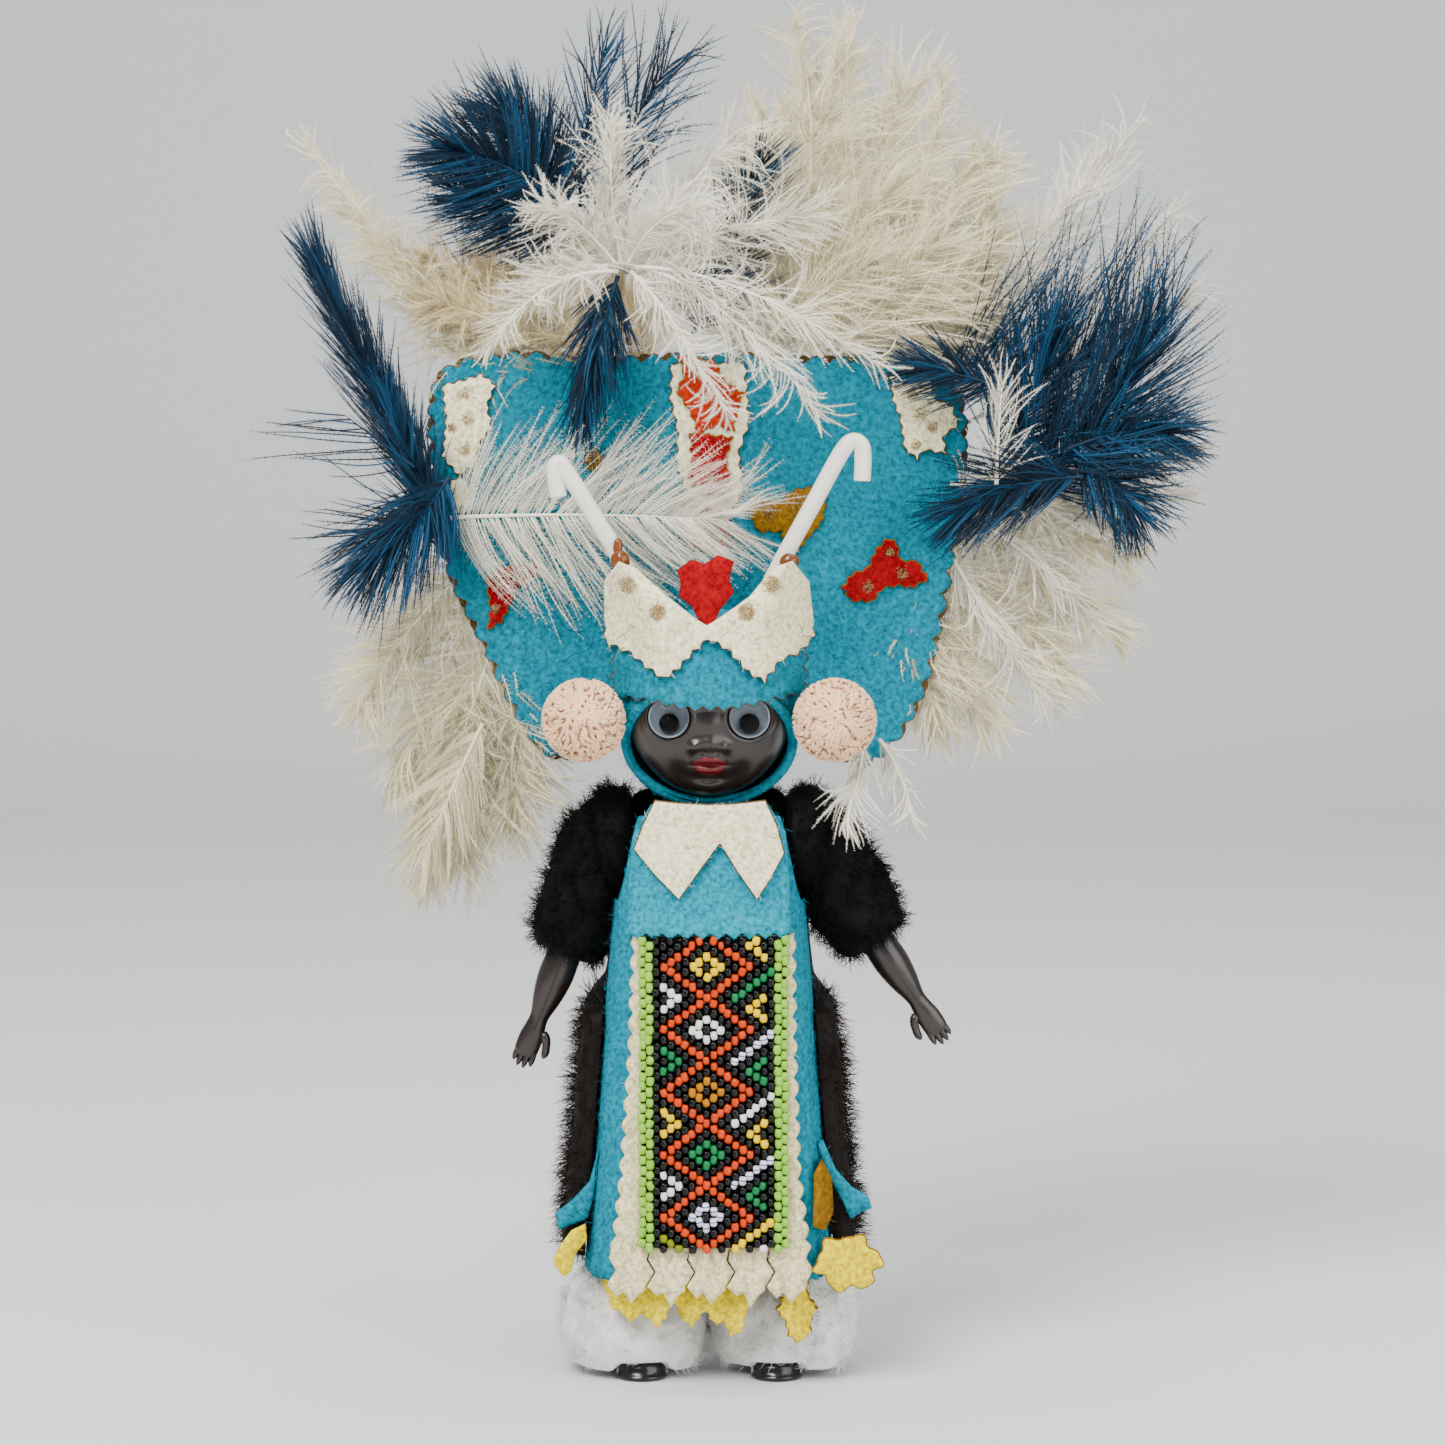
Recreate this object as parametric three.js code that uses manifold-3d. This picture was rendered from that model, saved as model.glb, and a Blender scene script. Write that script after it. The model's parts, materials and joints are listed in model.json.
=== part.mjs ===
// A strung plastic souvenir doll in a felt, fur, wool and bead costume, with a tall feather headdress.
// Millimetres, +Z up. The doll faces -Y. The origin is on the floor, midway between the two shoes.
// Left and right are as seen from the front, so left is towards -X.
import * as THREE from 'three';
import { mergeVertices } from 'three/addons/utils/BufferGeometryUtils.js';
import Module from 'manifold-3d';

const wasm = await Module();
wasm.setup();

// ---- Driving dimensions ----

const GAP = 0.3; // air left between pieces that touch on the real doll
const FELT = 1.2; // thickness of the craft felt
const LEFT = -1;
const RIGHT = 1;
const WELD = 1e-4; // vertices nearer than this are one vertex
const REACH = 60; // further out from the Z axis than any part that a cutting tool must clear
const TALL = 200; // above everything that such a tool must clear

// The dressed body: a squarish tube that widens evenly towards the hem.
const BODY = { halfWidth: 19.3, halfDepth: 16, squareness: 4, top: 131.5, hem: 26, flare: 0.0038 };
// The plastic body inside it.
const TORSO = { bottom: 56, top: 134, wall: 1.6, depthRatio: 0.7 };
const TORSO_HOLES = { neck: 4.4, neckFrom: 125, arm: 4.6, leg: 5.8, legTo: 64.5 };
const SHOULDER_HEIGHT = 124; // height of the arm axis, which runs along X through y = 0
const LEG = { offset: 15.6, radius: 5, ankle: 6.3, top: 63, elastic: 14 };
const SHOE = { width: 12, length: 23, height: 6, toe: -13.5 };
const LEGGING = { offset: 17.4, halfWidth: 17, halfDepth: 15.5, bottom: 1.2, top: 25.6, bore: 7.2 };
const FRONT_CLOTH_BACK = -12; // the layers of the front reach no further round the sides than this
const COAT = { inner: 1.5, outer: 6.2, bottom: 29, wide: 88, top: 130, front: -6, back: 4, narrow: 21.3 };
const ELASTIC = 1.2; // radius of the elastic cord inside the body

// Each arm hangs from the shoulder to a hand that stands a little away from the coat.
const ARM = { length: 58, start: 23.2, sideways: { [LEFT]: 21.4, [RIGHT]: 32.4 } };
const ARM_STUB = { radius: 3.9, inner: 13.5, outer: 22.5 }; // the peg that plugs into the torso
const SLEEVE = { bore: 6, outer: 10.6, cuff: 9.4, length: 27, from: 24, hole: 10.5 };
const HOOK = { radius: 1, inner: 11, outer: 13.2 };

// The head: a hollow ball, a little taller than it is wide.
const HEAD = { x: 19, y: 18, z: 20.5, centreY: -3, height: 155.5, wall: 1.6, neckHole: 6, neckHoleTop: 140 };
const NECK_HOOK = { stem: 1.2, bottom: 134.4, bend: 140.2, bar: [139.7, 141.5], halfBar: 8, halfDepth: 1 };
const FACE_OPENING = { halfWidth: 18.6, halfHeight: 13.5, height: 148 };
const EYE = { offset: 9.1, height: 154.3, radius: 4.7, floor: 0.6, rim: 2.5, back: -16.9, wall: 0.5, socket: 20 };
const PUPIL = { radius: 2.3, thickness: 0.8, drop: 1.5 };
const HOOD = { inner: GAP, outer: 2.3, neckHole: 9, neckHoleTop: 142 };
const HEAD_CLOTH = { bottom: 140.5, height: 60 }; // the tube that the felts round the head are cut from
const BAND = { inner: 2.6, outer: 3.8 };
const CROWN = { inner: 4.1, outer: 5.3 };
const HORN_RADIUS = 1.95;
const POMPOM = { radius: 9.4, offset: 28.4, height: 153.7, forward: -19 };

// The headdress stands behind the head. Plumes lie in flat layers in front of it and behind it.
const BOARD = { front: 17.6, centreStrip: 16.1 };
const LAYERS = {
  back: { front: 20.7, thickness: 4.9 },
  far_back: { front: 25.9, thickness: 5.1 },
  front: { front: 10.2, thickness: 5.6 },
  near_front: { front: 4, thickness: 5.9 },
};
const LEAF_STEPS = 10;

// ---- Solids ----

// The same triangles with one vertex at each place, which is what a boolean cut needs.
function weld(geometry) {
  const bare = new THREE.BufferGeometry();
  bare.setAttribute('position', geometry.getAttribute('position').clone());
  if (geometry.index) bare.setIndex(geometry.index.clone());
  const merged = mergeVertices(bare, WELD);
  const kept = [];
  for (let i = 0; i < merged.index.count; i += 3) {
    const corner = [0, 1, 2].map((k) => merged.index.getX(i + k));
    if (new Set(corner).size === 3) kept.push(...corner);
  }
  merged.setIndex(kept);
  return merged;
}

function toManifold(geometry) {
  const { attributes, index } = weld(geometry);
  const mesh = new wasm.Mesh({
    numProp: 3,
    vertProperties: Float32Array.from(attributes.position.array),
    triVerts: Uint32Array.from(index.array),
  });
  return new wasm.Manifold(mesh);
}

function toGeometry(manifold) {
  const mesh = manifold.getMesh();
  const geometry = new THREE.BufferGeometry();
  geometry.setAttribute('position', new THREE.BufferAttribute(mesh.vertProperties, 3));
  geometry.setIndex(new THREE.BufferAttribute(mesh.triVerts, 1));
  geometry.computeVertexNormals();
  return geometry;
}

const cut = (base, ...tools) =>
  toGeometry(tools.reduce((rest, tool) => rest.subtract(toManifold(tool)), toManifold(base)));
const join = (...parts) => toGeometry(parts.map(toManifold).reduce((whole, part) => whole.add(part)));
const common = (a, b) => toGeometry(toManifold(a).intersect(toManifold(b)));

// ---- Outlines and simple shapes ----

const outline = (points) => new THREE.Shape(points.map(([x, z]) => new THREE.Vector2(x, z)));

function smoothOutline(points) {
  const shape = new THREE.Shape();
  const [first, ...rest] = points.map(([x, z]) => new THREE.Vector2(x, z));
  shape.moveTo(first.x, first.y);
  shape.splineThru([...rest, first]);
  return shape;
}

function superellipse(halfWidth, halfDepth, squareness, count = 40) {
  return Array.from({ length: count }, (_, i) => {
    const angle = (2 * Math.PI * i) / count;
    const round = (value) => Math.sign(value) * Math.abs(value) ** (2 / squareness);
    return new THREE.Vector2(halfWidth * round(Math.cos(angle)), halfDepth * round(Math.sin(angle)));
  });
}

// A plate whose outline is seen from the front, filling y from front to front + thickness.
function plate(shape, front, thickness, curveSegments = 5) {
  const geometry = new THREE.ExtrudeGeometry(shape, { depth: thickness, bevelEnabled: false, curveSegments });
  geometry.rotateX(Math.PI / 2);
  geometry.translate(0, front + thickness, 0);
  return geometry;
}

function box(low, high) {
  const size = high.map((value, i) => value - low[i]);
  const geometry = new THREE.BoxGeometry(...size);
  geometry.translate(...low.map((value, i) => value + size[i] / 2));
  return geometry;
}

// A turned solid on the Z axis from a profile of [radius, height].
function turned(profile, segments = 24) {
  const points = profile.map(([radius, height]) => new THREE.Vector2(radius, height));
  const geometry = new THREE.LatheGeometry(points, segments);
  geometry.rotateX(Math.PI / 2);
  return geometry;
}

// An upright rod, or the hole for one.
function upright(radius, bottom, top, x = 0, y = 0) {
  const geometry = turned([[0, bottom], [radius, bottom], [radius, top], [0, top]]);
  geometry.translate(x, y, 0);
  return geometry;
}

function rodAlongX(radius, from, to, height, segments = 16) {
  const geometry = new THREE.CylinderGeometry(radius, radius, Math.abs(to - from), segments);
  geometry.rotateZ(Math.PI / 2);
  geometry.translate((from + to) / 2, 0, height);
  return geometry;
}

// A round bar that follows a smooth curve through its points.
function bent(points, radius, steps) {
  const curve = new THREE.CatmullRomCurve3(points.map((point) => new THREE.Vector3(...point)));
  const section = new THREE.Shape().absarc(0, 0, radius, 0, 2 * Math.PI);
  const options = { steps, extrudePath: curve, curveSegments: 5, bevelEnabled: false };
  return new THREE.ExtrudeGeometry(section, options);
}

function ball(x, y, z, segments = 24) {
  const geometry = new THREE.SphereGeometry(1, segments, segments / 2);
  geometry.rotateX(Math.PI / 2);
  geometry.scale(x, y, z);
  return geometry;
}

// ---- Shapes that follow the dressed body ----

function flared(geometry) {
  const position = geometry.getAttribute('position');
  for (let i = 0; i < position.count; i += 1) {
    const scale = 1 + BODY.flare * (BODY.top - position.getZ(i));
    position.setXY(i, position.getX(i) * scale, position.getY(i) * scale);
  }
  return geometry;
}

// A closed sleeve of cloth round the body, between two distances outside the tunic's inner face.
function bodyTube(inner, outer, bottom, top) {
  const ringAt = (away) => superellipse(BODY.halfWidth + away, BODY.halfDepth + away, BODY.squareness);
  const ring = new THREE.Shape(ringAt(outer));
  ring.holes.push(new THREE.Path(ringAt(inner)));
  const geometry = new THREE.ExtrudeGeometry(ring, { depth: top - bottom, bevelEnabled: false });
  geometry.translate(0, 0, bottom);
  return flared(geometry);
}

// The part of such a sleeve that lies on the doll's front inside an outline.
function frontCloth(inner, thickness, points) {
  const heights = points.map(([, z]) => z);
  const tube = bodyTube(inner, inner + thickness, Math.min(...heights) - 1, Math.max(...heights) + 1);
  return common(tube, plate(outline(points), -REACH, REACH + FRONT_CLOTH_BACK));
}

// ---- Body pieces ----

function torsoSkin(inset) {
  const profile = [
    [0, TORSO.bottom + inset],
    [18 - inset, TORSO.bottom + inset],
    [22 - inset, 64],
    [19.5 - inset, 76],
    [15 - inset, 92],
    [16.6 - inset, 112],
    [15.6 - inset, 122],
    [12 - inset, 128],
    [7.5 - inset, 131.5 - inset],
    [7.5 - inset, TORSO.top - inset],
    [0, TORSO.top - inset],
  ];
  const geometry = turned(profile);
  geometry.scale(1, TORSO.depthRatio, 1);
  return geometry;
}

function torsoShell() {
  const { neck, neckFrom, arm: armRadius, leg: legRadius, legTo } = TORSO_HOLES;
  const neckHole = upright(neck, neckFrom, TALL);
  const legHoles = [LEFT, RIGHT].map((side) => upright(legRadius, 0, legTo, side * LEG.offset));
  const armHole = rodAlongX(armRadius, -REACH, REACH, SHOULDER_HEIGHT);
  return cut(torsoSkin(0), torsoSkin(TORSO.wall), neckHole, armHole, ...legHoles);
}

function leg(side) {
  const { radius, ankle, top } = LEG;
  const profile = [[0, ankle], [3.6, ankle], [3.4, 10], [4.6, 22], [4, 34], [radius, 48], [radius, top], [0, top]];
  const geometry = turned(profile, 16);
  geometry.translate(side * LEG.offset, 0, 0);
  return geometry;
}

// The shoe, or with a margin the room that it needs inside the wool.
function shoe(side, margin = 0) {
  const half = SHOE.width / 2 + margin;
  const sole = new THREE.Shape();
  sole.absarc(0, SHOE.toe + SHOE.width / 2, half, Math.PI, 2 * Math.PI);
  sole.absarc(0, SHOE.toe + SHOE.length - SHOE.width / 2, half, 0, Math.PI);
  const depth = SHOE.height + margin;
  const geometry = new THREE.ExtrudeGeometry(sole, { depth, bevelEnabled: false, curveSegments: 8 });
  geometry.translate(side * LEG.offset, 0, 0);
  return geometry;
}

function legging(side) {
  const rise = LEGGING.top - LEGGING.bottom;
  const wide = LEGGING.halfWidth;
  const profile = [
    [LEGGING.bore, LEGGING.bottom + 5.3],
    [wide - 6, LEGGING.bottom],
    [wide - 1.5, LEGGING.bottom + 0.22 * rise],
    [wide, LEGGING.bottom + 0.5 * rise],
    [wide - 1, LEGGING.bottom + 0.8 * rise],
    [wide - 6, LEGGING.top],
    [LEGGING.bore, LEGGING.top],
    [LEGGING.bore, LEGGING.bottom + 5.3],
  ];
  const geometry = turned(profile);
  geometry.scale(1, LEGGING.halfDepth / LEGGING.halfWidth, 1);
  geometry.translate(side * LEGGING.offset, 0, 0);
  return cut(geometry, shoe(side, 0.4));
}

function tunic() {
  const armHole = rodAlongX(SLEEVE.hole, -REACH, REACH, SHOULDER_HEIGHT);
  return cut(bodyTube(0, FELT, BODY.hem, BODY.top), armHole);
}

// The fur coat wraps the back and sides, and stays narrow behind the shoulders so that the arms can swing.
function furCoat() {
  const tube = bodyTube(COAT.inner, COAT.outer, COAT.bottom, COAT.top);
  const front = box([-REACH, -REACH, 0], [REACH, COAT.front, TALL]);
  const behindArm = (side) => {
    const edges = [side * COAT.narrow, side * REACH].sort((a, b) => a - b);
    return box([edges[0], -REACH, COAT.wide], [edges[1], REACH, TALL]);
  };
  const besideNeck = box([-REACH, -REACH, COAT.wide], [REACH, COAT.back, TALL]);
  return cut(tube, front, besideNeck, behindArm(LEFT), behindArm(RIGHT));
}

// The layers of the front, each an outline of [x, z] seen from the front.
const FRONT_LAYER = { under: -1.5, first: FELT + GAP, second: 2 * (FELT + GAP) };
const APRON = [[-17.5, 104.9], [-22.4, 20.7], [23, 20.7], [19.4, 104.9]];
const BEAD_PANEL = { halfWidth: 17, bottom: 34, top: 105, thickness: 1.9 };
const BIB = [[-17.9, 131.4], [-18.6, 105.3], [18.6, 105.3], [18.2, 131.4]];
const COLLAR = [[-15, 131.4], [-16.8, 124], [-6.9, 113], [2.3, 125], [10.8, 113], [16.8, 124], [15, 131.4]];
const YELLOW_ZIGZAG = [
  [-23, 36], [-23, 17], [-19, 14], [-15, 18], [-11, 14.5], [-7, 18.5], [-2, 13.3], [4, 16], [8, 20], [8, 36],
];
const YELLOW_LEAF = [[16.5, 34], [16.5, 22], [18.5, 14], [20.5, 11.5], [23, 16], [23.4, 34]];
const MUSTARD_STRIP = [[24.2, 38], [24.2, 52], [28, 50], [28.5, 38]];

function beadPanel() {
  const { halfWidth, bottom, top, thickness } = BEAD_PANEL;
  const corners = [[-halfWidth, bottom], [halfWidth, bottom], [halfWidth, top], [-halfWidth, top]];
  return frontCloth(FRONT_LAYER.second, thickness, corners);
}

// Flat felt pieces that stand out at the sides of the hem.
const SIDE_FELT = {
  left_side_flap: { front: -14.2, points: [[-27.2, 47], [-36, 40], [-35, 34], [-27.9, 34]] },
  right_side_flap: { front: -14.2, points: [[29.6, 50], [36.8, 45], [36.8, 38], [29.6, 36]] },
  yellow_tab: { front: -17.6, points: [[-28.2, 38], [-35.6, 34], [-35, 25], [-28.2, 29]] },
  yellow_flower: { front: -21.8, points: [[24.6, 34], [30, 37.4], [37, 35], [39.6, 29], [34, 23], [26, 25]] },
};

// ---- Arms: everything here turns with one shoulder ----

// Turns a solid that hangs straight down from the shoulder so that its hand is away from the body.
function hungFromShoulder(geometry, side) {
  geometry.rotateY(-side * Math.asin(ARM.sideways[side] / ARM.length));
  geometry.translate(side * ARM.start, 0, SHOULDER_HEIGHT);
  return geometry;
}

function arm(side) {
  const profile = [
    [0, -ARM.length], [2, -ARM.length + 1], [3.4, -ARM.length + 8], [2.6, -ARM.length + 14], [3, -40],
    [4.1, -32], [3.7, -26], [4.5, -14], [4.9, -4], [3.4, 3], [0, 4.4],
  ];
  const limb = hungFromShoulder(turned(profile, 20), side);
  const { radius, inner, outer } = ARM_STUB;
  return join(limb, rodAlongX(radius, side * inner, side * outer, SHOULDER_HEIGHT, 20));
}

function sleeve(side) {
  const profile = [
    [SLEEVE.bore, -SLEEVE.length], [SLEEVE.cuff, -SLEEVE.length], [SLEEVE.outer, -SLEEVE.length / 2],
    [SLEEVE.outer, 6], [SLEEVE.bore, 10], [SLEEVE.bore, -SLEEVE.length],
  ];
  const edges = [-side * REACH, side * SLEEVE.from].sort((a, b) => a - b);
  const bodySide = box([edges[0], -REACH, 0], [edges[1], REACH, TALL]);
  return cut(hungFromShoulder(turned(profile), side), bodySide);
}

const armHook = (side) => rodAlongX(HOOK.radius, side * HOOK.inner, side * HOOK.outer, SHOULDER_HEIGHT, 10);

// ---- Head: everything from here on turns with the neck ----

// A solid ball that follows the head at a distance outside its skin.
function headBall(away, segments = 32) {
  const geometry = ball(HEAD.x + away, HEAD.y + away, HEAD.z + away, segments);
  geometry.translate(0, HEAD.centreY, HEAD.height);
  return geometry;
}

// A rod through the face at one eye, which points forward.
function eyeTurned(profile, side, segments = 20) {
  const geometry = new THREE.LatheGeometry(profile.map(([r, out]) => new THREE.Vector2(r, out)), segments);
  geometry.rotateX(Math.PI);
  geometry.translate(side * EYE.offset, EYE.back, EYE.height);
  return geometry;
}

function headShell() {
  const sockets = [LEFT, RIGHT].map((side) =>
    eyeTurned([[0, -GAP], [EYE.radius + GAP, -GAP], [EYE.radius + GAP, EYE.socket], [0, EYE.socket]], side));
  return cut(headBall(0), headBall(-HEAD.wall), upright(HEAD.neckHole, 0, HEAD.neckHoleTop), ...sockets);
}

function neckHook() {
  const { stem, bottom, bend, bar, halfBar, halfDepth } = NECK_HOOK;
  const crossbar = box([-halfBar, -halfDepth, bar[0]], [halfBar, halfDepth, bar[1]]);
  return join(upright(stem, bottom, bend), crossbar);
}

function eyeCell(side) {
  const { radius, floor, rim, wall } = EYE;
  const inside = radius - wall;
  return eyeTurned([[0, 0], [radius, 0], [radius, rim], [inside, rim], [inside, floor], [0, floor]], side);
}

function eyeDome(side) {
  const out = EYE.rim + GAP;
  const { radius } = EYE;
  return eyeTurned([
    [0, out], [radius, out], [radius, out + 0.4], [radius * 0.8, out + 1.3], [radius * 0.45, out + 1.8],
    [0, out + 2],
  ], side);
}

function pupil(side) {
  const out = EYE.floor + 0.35;
  const { radius, thickness } = PUPIL;
  const disc = [[0, out], [radius, out], [radius, out + thickness], [0, out + thickness]];
  const geometry = eyeTurned(disc, side);
  geometry.translate(0, 0, -PUPIL.drop);
  return geometry;
}

function hood() {
  const { halfWidth, halfHeight, height } = FACE_OPENING;
  const opening = new THREE.Shape();
  opening.absellipse(0, height, halfWidth, halfHeight, 0, 2 * Math.PI);
  const face = plate(opening, -REACH, REACH + HEAD.centreY, 12);
  const neck = upright(HOOD.neckHole, 0, HOOD.neckHoleTop, 0, HEAD.centreY);
  return cut(headBall(HOOD.outer), headBall(HOOD.inner), face, neck);
}

// Stiff felt that stands round the front of the head, inside an outline seen from the front.
function headCloth({ inner, outer }, points) {
  const ringAt = (away) => superellipse(HEAD.x + away, HEAD.y + away, 2);
  const ring = new THREE.Shape(ringAt(outer));
  ring.holes.push(new THREE.Path(ringAt(inner)));
  const tube = new THREE.ExtrudeGeometry(ring, { depth: HEAD_CLOTH.height, bevelEnabled: false });
  tube.translate(0, HEAD.centreY, HEAD_CLOTH.bottom);
  return common(tube, plate(outline(points), -REACH, REACH + HEAD.centreY));
}

const BROW_BAND = [[-22.5, 174], [-22.5, 157], [-14, 159], [0, 160], [14, 159], [22.5, 157], [22.5, 174]];
const CROWN_OUTLINE = [
  [-24, 186], [-19, 189.5], [-14, 186], [-0.5, 176], [12, 186], [17, 189.5], [23.5, 184],
  [24, 170], [19, 168], [12, 162.5], [0, 170.5], [-10.5, 163.5], [-19, 168], [-24, 168],
];
const CROWN_INSERT = [[-6.6, 175], [5.8, 175], [5.8, 186], [4, 191], [-6, 191], [-6.6, 186]];

// Candy-cane horns of plastic tube: a straight stem, a tight bend and a short end that points down.
const HORN_ROUTES = {
  left_horn: [
    [-15, -6, 180], [-20.6, -6, 190], [-32.6, -7, 209.5], [-35, -7, 212.4], [-34.6, -7, 209], [-32.6, -7, 203.5],
  ],
  right_horn: [
    [13, -6, 182], [17, -6, 190], [30, -7, 213.5], [32.6, -7, 217.5], [34.6, -7, 215], [34.6, -7, 207.5],
  ],
};

function pompom(side) {
  const { radius, offset, height, forward } = POMPOM;
  const geometry = ball(radius, radius, radius, 16);
  geometry.translate(side * offset, forward, height);
  return geometry;
}

const BOARD_OUTLINE = [
  [0, 236], [-25, 235], [-48, 236], [-64, 230], [-65, 210], [-61, 189], [-52, 168], [-43, 148], [-34, 141.5],
  [-22, 150], [0, 152], [22, 149], [32, 141], [41, 141], [51, 157], [57, 180], [60, 208], [58, 227],
  [47, 235], [25, 235],
];
const CENTRE_STRIP = [[-9, 233], [-7, 204], [-6, 192.5], [6, 192.5], [7.5, 204], [8, 233]];

// ---- Plumes: each a leaf that stands for the space of one ostrich plume ----

function leaf(root, tip, width) {
  const start = new THREE.Vector2(...root);
  const along = new THREE.Vector2(...tip).sub(start);
  const across = new THREE.Vector2(-along.y, along.x).normalize();
  const edge = (side) => Array.from({ length: LEAF_STEPS - 1 }, (_, i) => {
    const part = (i + 1) / LEAF_STEPS;
    const half = (width / 2) * Math.sqrt(Math.sin(Math.PI * part ** 0.85));
    return start.clone().addScaledVector(along, part).addScaledVector(across, side * half);
  });
  return new THREE.Shape([start, ...edge(-1), start.clone().add(along), ...edge(1).reverse()]);
}

const PLUMES = {
  blue_plume_top_left: { root: [-24, 228], tip: [-80, 290], width: 34, layer: 'far_back' },
  white_plume_mop: { root: [-18, 226], tip: [0, 300], width: 56, layer: 'front' },
  white_plume_droop: { root: [-20, 264], tip: [38, 206], width: 18, layer: 'near_front' },
  cream_plume_top: { root: [26, 224], tip: [40, 312], width: 54, layer: 'back' },
  cream_plume_upper_right: { root: [54, 226], tip: [115, 290], width: 34, layer: 'far_back' },
  blue_plume_right: { root: [54, 210], tip: [98, 284], width: 46, layer: 'front' },
  blue_plume_lower_right: { root: [84, 210], tip: [38, 186], width: 20, layer: 'near_front' },
  cream_plume_lower_right: { root: [48, 212], tip: [104, 134], width: 44, layer: 'far_back' },
  blue_plume_left: { root: [-60, 216], tip: [-98, 268], width: 18, layer: 'front' },
  blue_plume_lower_left: { root: [-56, 208], tip: [-115, 178], width: 22, layer: 'near_front' },
  cream_plume_lower_left: { root: [-50, 192], tip: [-76, 108], width: 36, layer: 'back' },
  white_plume_across: { root: [-60, 198], tip: [8, 199], width: 36, layer: 'front' },
};

function plume({ root, tip, width, layer }) {
  const { front, thickness } = LAYERS[layer];
  return plate(leaf(root, tip, width), front, thickness);
}

// ---- Finishes: [colour, roughness, metalness] ----

const FINISHES = {
  brown_plastic: ['#33261f', 0.35, 0],
  black_plastic: ['#0c0b0b', 0.4, 0],
  turquoise_felt: ['#1f94b4', 0.95, 0],
  cream_felt: ['#ded5b8', 0.95, 0],
  yellow_felt: ['#f2d516', 0.95, 0],
  red_felt: ['#c01822', 0.95, 0],
  mustard_felt: ['#a5741a', 0.8, 0.1],
  brown_fur: ['#33261c', 0.9, 0],
  black_fur: ['#0b0a0c', 0.9, 0],
  grey_wool: ['#cfcfce', 1, 0],
  seed_beads: ['#9c3a2a', 0.25, 0],
  white_elastic: ['#d9d4c8', 0.8, 0],
  steel_wire: ['#8d8f92', 0.35, 1],
  white_plastic: ['#eeeae0', 0.4, 0],
  clear_plastic: ['#e8eef0', 0.05, 0],
  ivory_tube: ['#e9e2cd', 0.3, 0],
  peach_yarn: ['#e6c3a6', 0.95, 0],
  card_backing: ['#b79f78', 0.9, 0],
  blue_feather: ['#143c66', 0.7, 0],
  cream_feather: ['#ddd2b6', 0.8, 0],
  white_feather: ['#f0ece0', 0.8, 0],
};

const doll = new THREE.Group();

function add(name, geometry, finish) {
  const [color, roughness, metalness] = FINISHES[finish];
  const mesh = new THREE.Mesh(geometry, new THREE.MeshStandardMaterial({ color, roughness, metalness }));
  mesh.name = name;
  doll.add(mesh);
}

function addBody() {
  add('torso_shell', torsoShell(), 'brown_plastic');
  const reach = HOOK.inner - GAP;
  add('arm_elastic', rodAlongX(ELASTIC, -reach, reach, SHOULDER_HEIGHT, 10), 'white_elastic');
  add('leg_elastic', rodAlongX(ELASTIC, -LEG.elastic, LEG.elastic, LEG.top + GAP + ELASTIC, 10), 'white_elastic');
  const neckRoute = [
    [0, 0, 134], [0, 0.6, 131], [0, 3.3, 127], [0, 4.2, 122], [0, 4, 100], [0, 1, 76], [0, 0, 66.2],
  ];
  add('neck_elastic', bent(neckRoute, ELASTIC, 14), 'white_elastic');
  add('tunic', tunic(), 'turquoise_felt');
  add('fur_coat', furCoat(), 'brown_fur');
}

function addLegs() {
  for (const [word, side] of [['left', LEFT], ['right', RIGHT]]) {
    add(`${word}_leg`, leg(side), 'brown_plastic');
    add(`${word}_shoe`, shoe(side), 'black_plastic');
    add(`${word}_wool_legging`, legging(side), 'grey_wool');
  }
}

function addFront() {
  add('bib', frontCloth(FRONT_LAYER.first, FELT, BIB), 'turquoise_felt');
  add('collar', frontCloth(FRONT_LAYER.second, FELT, COLLAR), 'cream_felt');
  add('apron', frontCloth(FRONT_LAYER.first, FELT, APRON), 'cream_felt');
  add('bead_panel', beadPanel(), 'seed_beads');
  add('mustard_strip', frontCloth(FRONT_LAYER.first, FELT, MUSTARD_STRIP), 'mustard_felt');
  add('yellow_zigzag', frontCloth(FRONT_LAYER.under, FELT, YELLOW_ZIGZAG), 'yellow_felt');
  add('yellow_leaf', frontCloth(FRONT_LAYER.under, FELT, YELLOW_LEAF), 'yellow_felt');
  for (const [name, { front, points }] of Object.entries(SIDE_FELT)) {
    const finish = name.startsWith('yellow') ? 'yellow_felt' : 'turquoise_felt';
    add(name, plate(outline(points), front, FELT), finish);
  }
}

function addArms() {
  for (const [word, side] of [['left', LEFT], ['right', RIGHT]]) {
    add(`${word}_arm`, arm(side), 'brown_plastic');
    add(`${word}_arm_hook`, armHook(side), 'steel_wire');
    add(`${word}_fur_sleeve`, sleeve(side), 'black_fur');
  }
}

function addHead() {
  add('head_shell', headShell(), 'brown_plastic');
  add('neck_hook', neckHook(), 'steel_wire');
  add('hood', hood(), 'turquoise_felt');
  add('brow_band', headCloth(BAND, BROW_BAND), 'turquoise_felt');
  add('crown', headCloth(CROWN, CROWN_OUTLINE), 'cream_felt');
  add('crown_insert', headCloth(BAND, CROWN_INSERT), 'red_felt');
  for (const [word, side] of [['left', LEFT], ['right', RIGHT]]) {
    add(`${word}_eye_cell`, eyeCell(side), 'white_plastic');
    add(`${word}_eye_dome`, eyeDome(side), 'clear_plastic');
    add(`${word}_pupil`, pupil(side), 'black_plastic');
    add(`${word}_pompom`, pompom(side), 'peach_yarn');
    add(`${word}_horn`, bent(HORN_ROUTES[`${word}_horn`], HORN_RADIUS, 22), 'ivory_tube');
  }
}

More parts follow.
